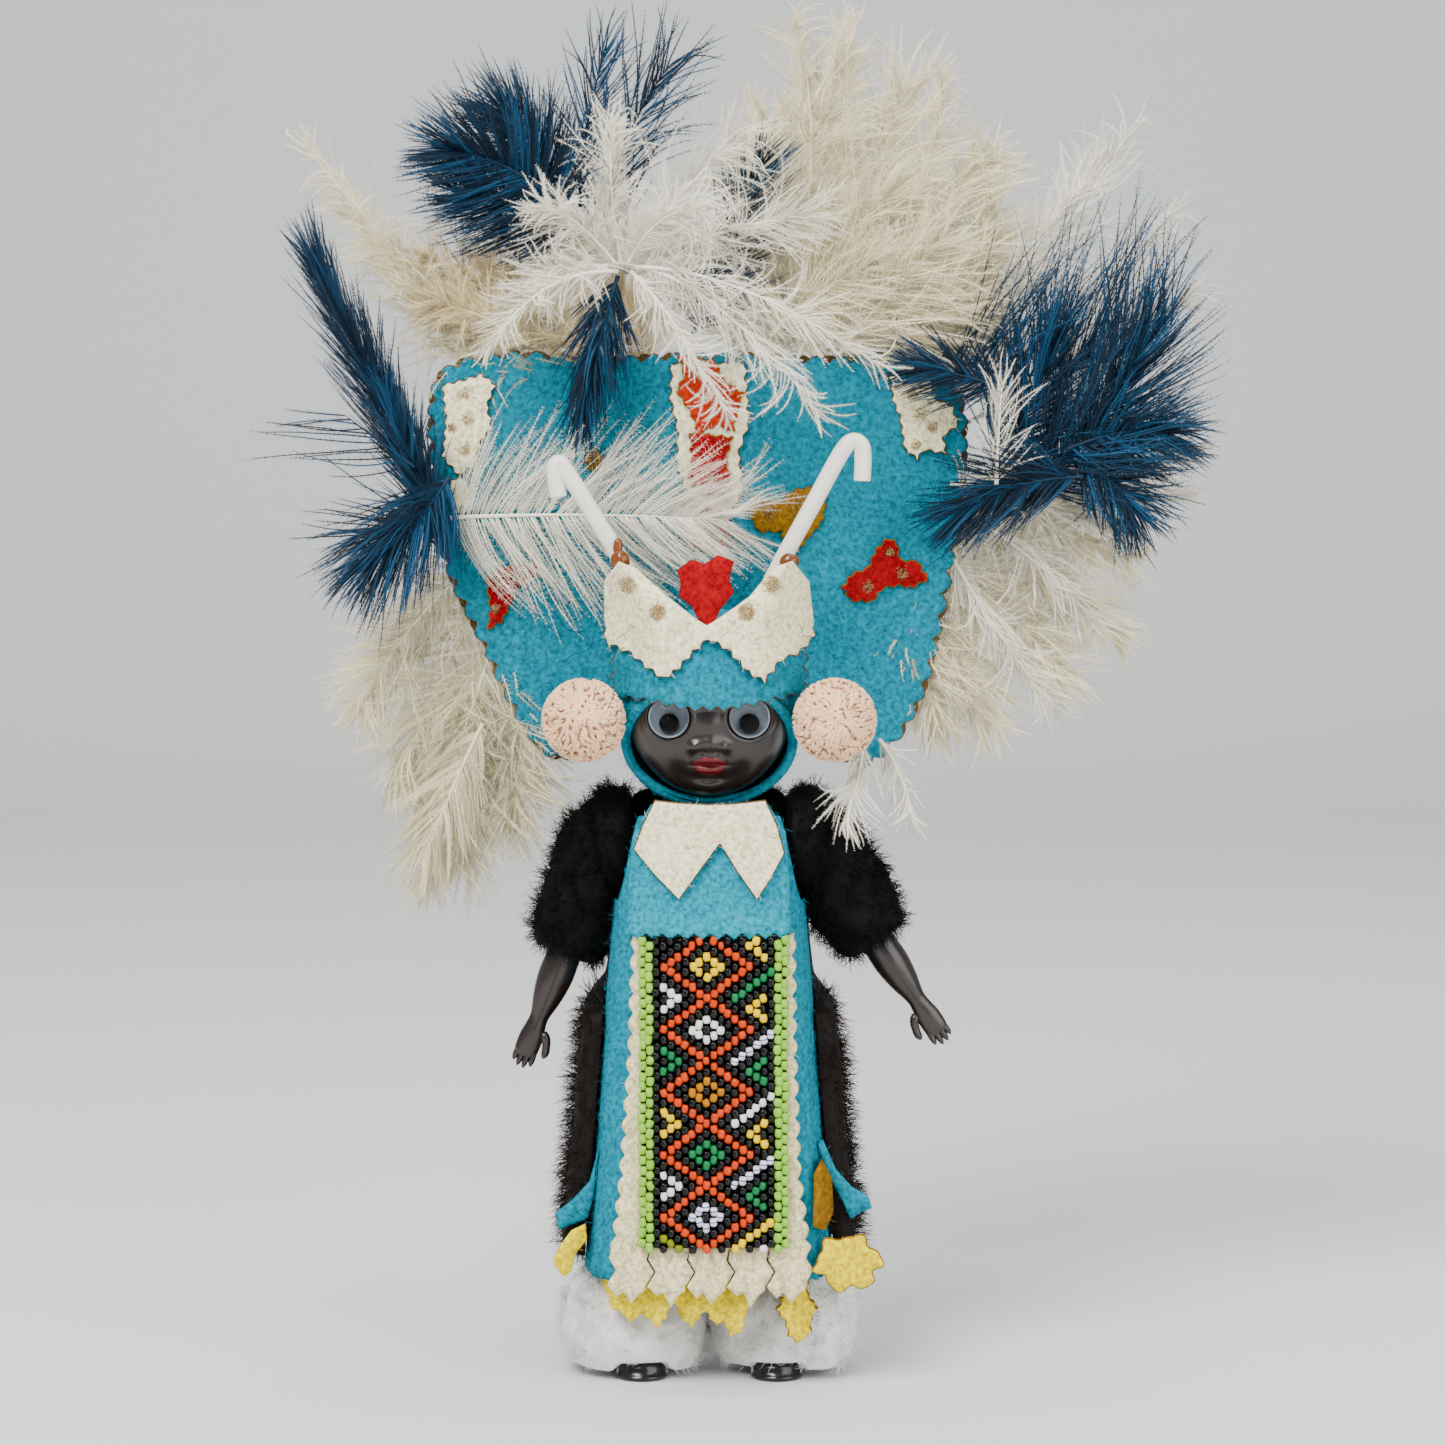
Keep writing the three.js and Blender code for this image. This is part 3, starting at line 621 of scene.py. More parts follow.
# How far the layers down the front lie outside the tunic's inner face. The hem's scraps hang under the apron.
LAYER = {"hem": -1.5, "bib": 1.5, "apron": 1.5, "strip": 1.6, "netting": 2.75, "collar": 3.0, "beads": 3.0}


def front_felts():
    """The layers down the front: bib, collar and apron, with the yellow and mustard scraps at the hem."""
    bib = cut([(-13.2, 134.4), (-17.2, 128), (-18.4, 118), (-18.9, 104.4), (18.6, 104.4), (18.3, 118),
               (17.4, 128), (13.4, 134.4)])
    teeth = pinked(bib, 3.6, 1.5, where=lambda outline: smoothstep(108, 105, outline[:, 1]))
    felt_sheet("bib_cloth", teeth, on_body(LAYER["bib"]), "body", "light",
               replaces=["bib"], bend=lambda flat: 1.4 * smoothstep(110, 104, flat[:, 1]))
    collar = cut([(-12.4, 135.6), (-15.2, 130), (-17.3, 124.2), (-12.4, 118.4), (-6.9, 112.8), (-2, 119.6),
                  (2.4, 125.6), (6.2, 119.4), (10.8, 112.8), (14, 117.6), (17.2, 123.4), (15.4, 130),
                  (12.8, 135.6), (6, 134.9), (0, 134.7), (-6, 135)])
    felt_sheet("collar_cloth", collar, on_body(LAYER["collar"]), "body", "cream", edge="backing",
               replaces=["collar"], fuzz=0.7)
    apron()
    zigzag = cut([(-24, 34), (-24.6, 23), (-22.8, 20.6), (-23, 18.6), (-20, 17.6), (-18.4, 15.6),
                  (-15.6, 17.6),
                  (-13.4, 16.4), (-12, 14.4), (-9.6, 17.4), (-9, 20.4), (-7.6, 20.2), (-6.6, 17), (-4, 14.8),
                  (-2.2, 17), (-1, 18.6), (1, 15.6), (3.4, 15.8), (5, 12.6), (7.6, 14), (8.4, 17.6),
                  (9.6, 20), (9.4, 34)])
    felt_sheet("yellow_zigzag_cloth", pinked(zigzag, 2.3, 0.6), on_body(LAYER["hem"]), "body", "yellow",
               replaces=["yellow_zigzag"])
    leaf = cut([(17, 34), (17.6, 24), (15.2, 18.6), (17.2, 16), (18, 12.6), (20.4, 10.6), (23.4, 12.6),
                (23.6, 16), (25, 18), (22.6, 22), (23.2, 34)])
    felt_sheet("yellow_leaf_cloth", pinked(leaf, 2.4, 0.6), on_body(LAYER["hem"]), "body", "yellow",
               edge="mustard", replaces=["yellow_leaf"])
    strip = cut([(23.6, 38), (23.8, 50), (25.6, 53), (28.2, 48), (28.5, 40), (26.4, 36.6)])
    felt_sheet("mustard_strip_cloth", strip, on_body(LAYER["strip"]), "body", "mustard",
               replaces=["mustard_strip"])


def apron():
    """The cream apron, scalloped down its sides and slit into five pointed tabs at the bottom."""
    tabs, bottom, slit_top, slack, first, width = 5, 20.6, 33.6, 0.12, -22.6, 45.4
    bottom_line = []
    for k in range(tabs):
        left, right = first + k / tabs * width + slack, first + (k + 1) / tabs * width - slack
        wide, lower = right - left, 0.7 * (k % 2)
        bottom_line += [
            (left + 0.3, slit_top), (left - 0.5, slit_top - 2.6), (left + 1.2, slit_top - 5.4),
            (left - 0.9, slit_top - 8.6), (left + 0.16 * wide, bottom + 1.4 + lower),
            (left + 0.34 * wide, bottom + 2.7), (left + 0.52 * wide, bottom + 0.2 - lower),
            (left + 0.72 * wide, bottom + 2.4), (right - 0.81, bottom + 3.6), (right - 0.9, slit_top - 8.6),
            (right + 1.1, slit_top - 5.4), (right - 0.6, slit_top - 2.6), (right + 0.2, slit_top),
        ]
    corners = len(bottom_line) // tabs
    for k in range(1, tabs):
        slit = first + k / tabs * width
        bottom_line[corners * k - 1] = (slit - 0.02, slit_top + 0.3)
        bottom_line[corners * k] = (slit + 0.02, slit_top + 0.3)
    left_side = [(-17.4, 105), (-18.2, 80), (-20.2, 50), (-22, slit_top + 1)]
    right_side = [(22.6, slit_top + 1), (20.6, 50), (19.6, 80), (19.3, 105)]
    outline = resampled(left_side + bottom_line + right_side, 0.28)

    def sides(outline):
        along, out = outline[:, 1], np.abs(outline[:, 0])
        return smoothstep(31, 34, along) * smoothstep(104.5, 103, along) * smoothstep(15, 17, out)

    def lift(flat):
        return 0.5 * smoothstep(34, 24, flat[:, 1]) * np.sin(flat[:, 0] * 0.69)

    felt_sheet("apron_cloth", pinked(outline, 4.6, 1.1, True, sides), on_body(LAYER["apron"]), "body",
               "apron",
               replaces=["apron"], bend=lift, ripple=0.15, fuzz=0.6)


def side_felts():
    """Scraps that stick out past the hem on both sides."""
    flap_back, tab_back, flower_back = -13.0, -16.4, -20.6
    flap = cut([(-25.6, 54), (-27.6, 47), (-31.6, 42.6), (-35.4, 39.6), (-34.6, 35.6), (-31, 37),
                (-27.9, 38.5), (-26.4, 44)])
    felt_sheet("left_side_flap_cloth", flap, facing_front(flap_back), "body", "turquoise",
               replaces=["left_side_flap"], bend=lambda flat: 0.12 * (flat[:, 0] + 30))
    flap = cut([(24.6, 56), (27, 49), (30.4, 42.6), (32.4, 38), (35, 39.8), (37.4, 40.6), (36.4, 43.6),
                (32.8, 45.6), (29, 50), (26, 57)])
    felt_sheet("right_side_flap_cloth", flap, facing_front(flap_back), "body", "turquoise",
               replaces=["right_side_flap"], bend=lambda flat: 0.15 * (30 - flat[:, 0]))
    tab = cut([(-28.3, 38), (-31.6, 36.4), (-34.4, 32.6), (-36, 29), (-33.6, 25.4), (-31.6, 26.6),
               (-30.6, 31), (-28, 34)])
    felt_sheet("yellow_tab_cloth", tab, facing_front(tab_back), "body", "yellow",
               replaces=["yellow_tab"], bend=lambda flat: 0.1 * (flat[:, 1] - 31))
    centre, size = np.array([31.6, 29.6]), np.array([7.4, 6.4])
    angle = circle(360)
    petals = 1 + 0.11 * np.sin(6 * angle + 0.6) + 0.05 * np.sin(11 * angle + 2) + 0.03 * np.sin(3 * angle)
    flower = centre + size * petals[:, None] * np.stack([np.cos(angle), np.sin(angle)], axis=-1)
    felt_sheet("yellow_flower_cloth", cut(flower), facing_front(flower_back), "body", "yellow",
               edge="mustard", replaces=["yellow_flower"],
               bend=lambda flat: 0.05 * (flat[:, 0] - 31) ** 2 - 0.8)


# ---------------------------------------------------------------- bead panel

BEAD = {"pitch": 1.62, "half_row": 1.18, "middle": -0.6, "top": 104.9, "first": -9, "last": 11, "rows": 60,
        "period": 12}
BEAD_LOOKS = ["black", "leaf", "orange", "yellow", "white", "amber", "green", "stripe", "lime"]
FLOWERS = ["yellow", "white", "amber", "green", "stripe"]
LEFT_CHEVRONS = ["white", "green", "yellow", "white", "lime"]
RIGHT_LINES = ["green", "stripe", "white", "stripe", "yellow"]
RIGHT_CHEVRONS = ["yellow", "yellow", "green", "yellow", "green"]


def bead_color(column, row):
    """The colour of the bead in a column counted from the middle and a half row counted from the top."""
    period = BEAD["period"]
    diamond, phase = divmod(row, period)
    from_crossing = min(phase, period - phase)
    if is_border(column):
        return "leaf"
    if abs(column) == from_crossing:
        return "orange"
    if abs(column) + abs(phase - period // 2) == 2:
        return FLOWERS[min(diamond, 4)]
    crossing = round(row / period)
    offset = row - crossing * period
    if column < 0 and crossing >= 1 and -column + abs(offset) == 4 + 2 * abs(offset) and abs(offset) <= 2:
        return LEFT_CHEVRONS[crossing - 1]
    if column >= 4 and crossing >= 1 and offset == 4 - column:
        return RIGHT_LINES[crossing - 1]
    return chevron_color(column, row)


def is_border(column):
    """The two columns down each side."""
    return column <= BEAD["first"] + 1 or column >= BEAD["last"] - 1


def chevron_color(column, row):
    """The right-hand chevrons, whose points are two half rows below each crossing."""
    crossing, offset = divmod(row, BEAD["period"])
    if 6 <= column <= 8 and offset <= 4 and abs(offset - 2) == column - 6 and crossing < len(RIGHT_CHEVRONS):
        return RIGHT_CHEVRONS[crossing]
    if crossing == len(RIGHT_CHEVRONS) and column == 8:
        return "white"
    return "black"


def bead_shape():
    """One seed bead with its hole upright: its points, triangles and which of them are its middle band."""
    profile = np.array([(0.30, -0.72), (0.62, -0.96), (0.84, -0.55), (0.88, -0.13), (0.88, 0.13),
                        (0.84, 0.55),
                        (0.62, 0.96), (0.30, 0.72)])
    angle = np.linspace(0, 2 * math.pi, 11)[:-1]
    rings = np.stack([profile[:, :1] * np.cos(angle), profile[:, :1] * np.sin(angle),
                      np.broadcast_to(profile[:, 1:], (len(profile), len(angle)))], axis=-1)
    points, triangles = ring_solid(rings)
    band = np.all(np.abs(points[triangles][..., 2]) < 0.2, axis=1) & np.all(
        np.linalg.norm(points[triangles][..., :2], axis=-1) > 0.8, axis=1)
    return points, triangles, band


def bead_materials():
    glass = {"black": (0.002, 0.002, 0.0025), "leaf": (0.27, 0.56, 0.045), "orange": (0.62, 0.045, 0.0008),
             "yellow": (0.90, 0.60, 0.001), "white": (0.84, 0.82, 0.76), "amber": (0.46, 0.17, 0.001),
             "green": (0.005, 0.17, 0.048), "stripe": (0.80, 0.80, 0.86), "lime": (0.20, 0.24, 0.003),
             "blue": (0.01, 0.02, 0.32)}
    made = [glossy(f"{name}_beads", glass[name], 0.16, 0.75, 500, shine=0.3) for name in BEAD_LOOKS]
    return made + [glossy("blue_bead_stripe", glass["blue"], 0.3)]


def bead_panel():
    """About six hundred seed beads in offset columns, wired over a black backing."""
    rng = np.random.default_rng(7)
    points, triangles, band = bead_shape()
    place, shape = on_body(LAYER["beads"]), Shape()
    for column in range(BEAD["first"], BEAD["last"] + 1):
        for row in range(2 - column % 2, BEAD["rows"] + 1, 2):
            color = bead_color(column, row)
            looks = np.where(band & (color == "stripe"), len(BEAD_LOOKS), BEAD_LOOKS.index(color))
            tilt = rng.normal(0, 0.2)
            turn = np.array([[math.cos(tilt), 0, math.sin(tilt)], [0, 1, 0],
                             [-math.sin(tilt), 0, math.cos(tilt)]])
            size = rng.normal(1, 0.06, 3) * (1.1 if is_border(column) else 1.0)
            flat = np.array([BEAD["middle"] + column * BEAD["pitch"], BEAD["top"] - row * BEAD["half_row"]])
            flat += rng.normal(0, 0.11, 2)
            middle = place(flat[:1], flat[1:], 0.85 + rng.normal(0, 0.06))[0]
            shape.add((points * size) @ turn.T + middle, triangles, looks)
    piece("seed_beads", shape, "body", bead_materials(), ["bead_panel"])
    backing = resampled([(-15.6, 34), (17.6, 34), (17.6, 104.6), (-15.6, 104.6)], 0.6)
    felt_sheet("bead_netting", backing, on_body(LAYER["netting"]), "body", "thread", thickness=0.5, ripple=0,
               fuzz=0.05)


# ---------------------------------------------------------------- fur and wool


def lumps(points, size, amount, rng, count=7):
    """Smooth unevenness, as a height for each point."""
    height = np.zeros(points.shape[:-1])
    for _ in range(count):
        height += np.sin(points @ (unit(rng.normal(size=3)) * 2 * math.pi / size) + rng.uniform(0, 6))
    return amount * height / math.sqrt(count)


def pile(name, body, base, looks, count, lengths, pull, wave, replaces, seed, radius=0.06, steps=5,
         tangle=0.5, keep=None):
    """A furry piece: base is its skin (points, triangles) and the hairs grow out of it in shared locks."""
    floor, root_depth, hairs_in_a_lock = 0.2, 0.3, 14
    rng = np.random.default_rng(seed)
    shape = Shape().add(*base, 0)
    places, normals = scattered(*base, count * DENSITY, rng)
    if keep is not None:
        chosen = keep(places, normals)
        places, normals = places[chosen], normals[chosen]
    locks = places[rng.integers(0, len(places), max(8, len(places) // hairs_in_a_lock))]
    nearest = np.concatenate([np.linalg.norm(part[:, None] - locks[None], axis=-1).argmin(1)
                              for part in np.array_split(places, 1 + len(places) // 1500)])
    lock_lean = rng.normal(0, tangle, locks.shape)[nearest]
    heading = unit(normals + lock_lean + 0.35 * rng.normal(size=places.shape))
    heading = unit(heading + np.clip(0.15 - (heading * normals).sum(-1, keepdims=True), 0, None) * normals)
    paths = grow(places - root_depth * normals, heading, rng.uniform(*lengths, len(places)), steps,
                 np.array(pull) + 0.35 * lock_lean, wave, rng)
    paths[..., 2] = np.maximum(paths[..., 2], floor)  # hairs that reach the floor lie on it
    taper = np.append(np.linspace(1, 0.5, steps), 0) * radius
    tone = rng.integers(1, len(looks), len(locks))[nearest]
    points, triangles = strands(paths, taper)
    shape.add(points, triangles, np.repeat(tone, len(triangles) // len(tone)))
    return piece(name, shape, body, looks, replaces)


def coat():
    """The brown fur at the back and sides, narrow behind the shoulders so that the arms can swing."""
    rng = np.random.default_rng(12)
    low, high, narrow_from, narrow_above, half_back = 29.5, 129, 84, 92, 19
    height = np.linspace(low, high, 64)[:, None]
    narrow = smoothstep(narrow_from, narrow_above, height)
    start = -0.26 + 0.76 * narrow
    part = np.linspace(0, 1, 90)[None]
    angle = start + (math.pi - 2 * start) * part
    edge = np.minimum(1, np.sin(math.pi * part) / 0.16) ** 0.5
    rounding = edge * np.minimum(1, (height - low + 0.5) / 4) ** 0.5
    outer = round_body(angle, np.broadcast_to(height, angle.shape), 1.9 + (3.5 - 1.4 * narrow) * rounding)
    outer += unit(outer * [1, 1, 0]) * (lumps(outer, 11, 0.35, rng) * rounding)[..., None]
    inner = round_body(angle, np.broadcast_to(height, angle.shape), 1.7)
    looks = tones("brown_fur", (0.0125, 0.0080, 0.0056), 0.6, (0.55, 0.5, 0.8, 1.2, 2.2))

    def furry(places, normals):
        outside = (normals * unit(places * [1, 1, 0])).sum(-1) > -0.2
        return outside & ((places[:, 2] < 88) | (np.abs(places[:, 0]) < half_back))

    pile("fur_coat_pile", "body", slab(outer, inner), looks, 23000, (3.0, 6.2), (0, 0, -0.10),
         0.17,
         ["fur_coat"], 21, 0.085, 4, 0.5, keep=furry)


SHOULDER = joint_place("right_shoulder")
LIMB = 58.0  # from the shoulder to the tips of the fingers
REACH_OUT = {LEFT: 21.4, RIGHT: 32.4}  # how far the fingertips are out from the shoulder


def arm_axes(side):
    """The arm's start, and its directions along and across the limb."""
    down = np.array([side * REACH_OUT[side], 0, -math.sqrt(LIMB**2 - REACH_OUT[side] ** 2)]) / LIMB
    return SHOULDER * [side, 1, 1], down, np.array([-down[2] * side, 0, down[0] * side])


def sleeve(word, side, seed):
    """A sleeve of curly black fur round the upper arm and over the shoulder."""
    rng = np.random.default_rng(seed)
    start, down, sideways = arm_axes(side)
    along, radius = smooth_rows([(-9, 4), (-7, 7.5), (-3, 10), (2, 11), (8, 10.8), (14, 10.4), (20, 9.8),
                                 (25, 8.8), (27.5, 7.4), (26.5, 5)], 30)
    angle = circle(40)[None]
    centre = start + along[..., None] * down
    rings = centre + radius[..., None] * (
        np.cos(angle)[..., None] * sideways + np.sin(angle)[..., None] * np.array([0, 1, 0]))
    rings += unit(rings - centre) * lumps(rings, 8, 0.55, rng)[..., None]
    rings[..., 0] = side * np.maximum(side * rings[..., 0], SHOULDER[0])
    out, cap_radius = smooth_rows([(17.6, 8.6), (18.4, 11.6), (20, 12.6), (23, 12.8), (26, 11.4), (28, 8.6)],
                                  14)
    cap = np.stack([side * out + 0 * angle, cap_radius * np.cos(angle),
                    SHOULDER[2] + cap_radius * np.sin(angle)], axis=-1)
    base = Shape().add(*closed(rings)).add(*closed(cap))
    base = np.concatenate(base.points), np.concatenate(base.triangles)

    def away(places, normals):
        return side * places[:, 0] > 18.6

    pile(f"{word}_fur_sleeve_pile", f"arm_{word}", base, black_fur(), 8500, (2.4, 5.2),
         (side * 0.03, 0, -0.06), 0.42, [f"{word}_fur_sleeve"], seed, 0.085, 5, 0.5, keep=away)


def black_fur():
    return tones("black_fur", (0.0016, 0.0016, 0.0020), 0.7, (0.7, 0.6, 1.0, 1.9))


def neck_fur():
    """Black fur that lies round the back and sides of the neck, under the hood."""
    rng = np.random.default_rng(14)
    angle = np.linspace(-0.42, math.pi + 0.42, 50)
    path = np.stack([14.6 * np.cos(angle), 1 + 9.5 * np.sin(angle), 131.1 + 0 * angle], axis=-1)
    path += 0.4 * rng.normal(size=path.shape) * [0.4, 0.4, 1]
    swell = 5.1 * np.sin(np.linspace(0.35, math.pi - 0.35, 50)) ** 0.4

    def above_bib(places, normals):
        return places[:, 2] > 127

    pile("neck_fur_pile", "body", closed(tube_rings(path, swell, 20)), black_fur(), 4200,
         (2.0, 4.2),
         (0, 0, -0.04), 0.4, (), 15, 0.08, 4, 0.5, keep=above_bib)


def smooth_rows(pairs, count):
    """Two columns of values read off a smooth line through the pairs."""
    pairs = np.array(pairs, float)
    where = np.linspace(0, len(pairs) - 1, count)
    return smooth_values(pairs[:, 0], where)[:, None], smooth_values(pairs[:, 1], where)[:, None]


def legging(word, side, seed):
    """A puff of white wool round the shin and the top of the shoe."""
    rng = np.random.default_rng(seed)
    out = side * middle_of("right_wool_legging")[0]
    height = np.array([3.6, 1.6, 2.4, 5.6, 10, 15, 20, 24, 26, 26.3])
    radius = np.array([8, 11, 14.4, 16.2, 17, 17, 16, 12.8, 10, 7.6])
    fine = np.linspace(0, len(height) - 1, 36)
    height, radius = (np.interp(fine, np.arange(10), values)[:, None] for values in (height, radius))
    angle = circle(72)[None]
    rings = np.stack([out + radius * np.cos(angle), radius * 0.91 * np.sin(angle), height + 0 * angle],
                     axis=-1)
    rings += unit(rings - np.array([out, 0, 13])) * lumps(rings, 13, 0.75, rng)[..., None]
    over_shoe = smoothstep(7.4, 4.6, np.abs(rings[..., 0] - side * SHOE_X)) * smoothstep(-8, -10,
                                                                                         rings[..., 1])
    rings[..., 2] += over_shoe * np.maximum(0, 4.6 - rings[..., 2])
    rings[..., 2] = np.maximum(rings[..., 2], 2.2)
    looks = tones("white_wool", (0.86, 0.85, 0.82), 0.9, (0.92, 0.74, 0.86, 0.96, 1.06))

    def clear(places, normals):
        x, y, z = places.T
        shoe_front = (np.abs(x - side * SHOE_X) < 6.4) & (y < -6) & (z < 5.6)
        return (z > 3.4) & (normals[:, 2] < 0.9) & ~shoe_front

    pile(f"{word}_wool_legging_pile", "body", closed(rings), looks, 8600, (2.2, 5.4),
         (0, 0, -0.03), 0.40, [f"{word}_wool_legging"], seed, 0.055, 5, 0.8, keep=clear)


# ---------------------------------------------------------------- limbs and shoes

SHOE_X = middle_of("right_shoe")[0]


def arm(word, side, looks):
    """A moulded arm with a narrow wrist and a small hand whose fingers are held together."""
    start, down, sideways = arm_axes(side)
    depth = np.array([0, 1.0, 0])
    # Along the limb from the shoulder, half the width and half the depth.
    stations = np.array([(4.3, 0.6, 0.6), (3.6, 2.4, 2.4), (1, 4.1, 4.1), (-4, 4.9, 4.9), (-14, 4.5, 4.5),
                         (-24, 3.8, 3.7), (-29, 4.0, 3.9), (-34, 4.1, 3.9), (-39, 3.4, 3.1), (-43, 2.4, 2.2),
                         (-44.6, 2.2, 1.8), (-46.5, 2.4, 1.7), (-49, 2.8, 1.7), (-51.5, 2.8, 1.5),
                         (-53, 2.6, 1.3), (-53.8, 2.0, 0.9)])
    fine = np.linspace(0, len(stations) - 1, 60)
    along, wide, deep = (smooth_values(stations[:, k], fine) for k in range(3))
    angle = circle(32)[None, :, None]
    centre = (start - along[:, None] * down)[:, None]
    rings = centre + wide[:, None, None] * np.cos(angle) * sideways + deep[:, None,
                                                                           None] * np.sin(angle) * depth
    shape = Shape().add(*closed(rings))
    finger = [0.6, 0.8, 0.8, 0.76, 0.78, 0.74, 0.68, 0.5, 0.2]
    for k, (offset, length) in enumerate([(-1.9, 3.3), (-0.65, 4.2), (0.6, 4.1), (1.75, 3.2)]):
        root = start + 51.6 * down + offset * sideways
        tip = start + (53.4 + length - 1.0) * down + offset * 1.15 * sideways + (0.25 * k - 0.4) * depth
        shape.add(*closed(tube_rings(np.linspace(root, tip, 9), finger, 12)))
    thumb_root = start + 47 * down - 2.2 * sideways - 0.6 * depth
    thumb = thumb_root + np.array([[0, 0], [1.8, -1.5], [4.2, -2.2], [5.8, -2.1]]) @ np.stack([down,
                                                                                               sideways])
    thumb = np.stack([np.interp(np.linspace(0, 3, 9), range(4), thumb[:, k]) for k in range(3)], axis=-1)
    shape.add(*closed(tube_rings(thumb, [0.8, 1.1, 1.1, 1.0, 0.95, 0.95, 0.9, 0.7, 0.3], 12)))
    seam = (start - along[8:46, None] * down) - (deep[8:46, None] - 0.02) * depth
    shape.add(*strands(seam[None], np.append(np.full(37, 0.16), 0), 6))
    shape.add(*loft(np.stack([side_ring(side, x, 3.9) for x in (13.5, 22.5)])[:: side]))
    piece(f"{word}_arm_skin", shape, f"arm_{word}", looks, [f"{word}_arm"])


def smooth_values(values, where):
    """Values read off a smooth curve through evenly spaced values."""
    low = np.clip(where.astype(int), 0, len(values) - 2)
    before, beyond = values[np.maximum(low - 1, 0)], values[np.minimum(low + 2, len(values) - 1)]
    return through(before, values[low], values[low + 1], beyond, where - low)


def side_ring(side, x, radius):
    angle = circle(32)
    return np.stack([np.full(32, side * x), radius * np.cos(angle), SHOULDER[2] + radius * np.sin(angle)],
                    axis=-1)


def shoe(word, side, look):
    """A rounded black shoe with a thin sole."""
    # The height of each ring and its share of the sole's size.
    rows = [(0, 0.90), (0.25, 0.98), (1.1, 1.0), (1.2, 0.93), (2.6, 0.95), (4.2, 0.86), (5.3, 0.68),
            (5.9, 0.4),
            (6, 0.15)]
    half_width, straight, behind = 6, 5.5, middle_of("right_shoe")[1]
    angle = circle(64)
    stadium = np.stack([half_width * np.cos(angle),
                        straight * np.sign(np.sin(angle)) + half_width * np.sin(angle)], axis=-1)
    rings = [np.stack([side * SHOE_X + stadium[:, 0] * size, behind + stadium[:, 1] * size * 0.995,
                       np.full(64, height)], axis=-1) for height, size in rows]
    piece(f"{word}_shoe_shape", Shape().add(*closed(np.array(rings))), "body", look,
          [f"{word}_shoe"])


# ---------------------------------------------------------------- head

EYE_PLACE = middle_of("right_eye_cell")
EYE = {"offset": EYE_PLACE[0], "height": EYE_PLACE[2]}
OPENING = {"half_width": 18.6, "half_height": 13.7, "height": 148.0}  # of the hood, round the face


def face_relief(x, z):
    """How far the features stand out of the plain oval of the face, in millimetres."""
    def bump(amount, at_x, at_z, wide, high):
        return amount * np.exp(-((x - at_x) / wide) ** 2 - ((z - at_z) / high) ** 2)
    relief = bump(0.7, 0, 152.4, 2.4, 3.2) + bump(1.5, 0, 148.2, 3.0, 1.8)
    relief += bump(0.9, 0, 144.5, 2.9, 1.0) + bump(1.0, 0, 141.9, 2.5, 1.0) - bump(0.75, 0, 143.2, 3.0, 0.32)
    relief += bump(1.0, 0, 137.6, 3.8, 2.2) - bump(0.5, 0, 139.9, 2.4, 0.7)
    for side in (LEFT, RIGHT):
        relief += bump(1.2, side * 3.6, 147.6, 1.5, 1.4) - bump(0.7, side * 1.8, 146.4, 0.8, 0.5)
        relief += bump(1.1, side * 10, 146.2, 4.6, 4.4) + bump(0.7, side * 8.5, 160.6, 6, 1.6)
        relief -= bump(0.35, side * 4.5, 144.6, 0.8, 2.4)
    return relief


def full_cheeks(x, z):
    """How far the rim of the face swells out to fill the opening of the hood, in millimetres."""
    reach = np.hypot(x / OPENING["half_width"], (z - OPENING["height"]) / OPENING["half_height"])
    return 2.6 * smoothstep(0.55, 0.9, reach) * smoothstep(1.04, 0.97, reach)


def head(look):
    """The head, as an oval with its features pressed into the front and a round seat for each eye."""
    rows, around = 230, 300
    polar = np.linspace(0.004, math.pi - 0.004, rows)[:, None]
    angle = circle(around)[None]
    round_ball = np.stack([np.sin(polar) * np.cos(angle), -np.cos(polar) * np.ones_like(angle),
                           np.sin(polar) * np.sin(angle)], axis=-1)
    points = HEAD["centre"] + HEAD["size"] * round_ball
    front = smoothstep(0.1, -0.25, round_ball[..., 1])
    relief = (face_relief(points[..., 0], points[..., 2]) + full_cheeks(points[..., 0],
                                                                        points[..., 2])) * front
    points = points + relief[..., None] * np.array([0, -1, 0])
    for side in (LEFT, RIGHT):
        reach = np.hypot(points[..., 0] - side * EYE["offset"], points[..., 2] - EYE["height"])
        seat = smoothstep(5.0, 4.75, reach) * front
        points[..., 1] += seat * np.maximum(0, -16.5 - points[..., 1])
        lid = np.exp(-((reach - 5.5) / 0.55) ** 2) * front
        points[..., 1] -= 0.45 * lid
    piece("head_skin", Shape().add(*closed(points)), "head", look, ["head_shell"])


def lips(look):
    """Red paint over both lips, following their relief."""
    across_mouth, up = np.meshgrid(np.linspace(-1, 1, 61), np.linspace(0, 1, 33))
    x = 3.7 * across_mouth
    top = 145.5 - 1.7 * np.abs(across_mouth) ** 2.2 - 0.35 * np.exp(-(x / 0.7) ** 2)
    low = 140.9 + 1.9 * np.abs(across_mouth) ** 2.4
    z = low + (top - low) * up
    size = HEAD["size"]
    depth = size[1] * np.sqrt(1 - (x / size[0]) ** 2 - ((z - HEAD["centre"][2]) / size[2]) ** 2)
    y = HEAD["centre"][1] - depth - face_relief(x, z)
    edge = np.minimum(1 - np.abs(across_mouth), np.minimum(up, 1 - up) * 2)
    swell = 0.06 + 0.10 * smoothstep(0, 0.25, edge)
    outer, inner = (np.stack([x, y - out, z], axis=-1) for out in (swell, -0.3))
    piece("lip_paint", Shape().add(*slab(outer, inner)), "head", look)


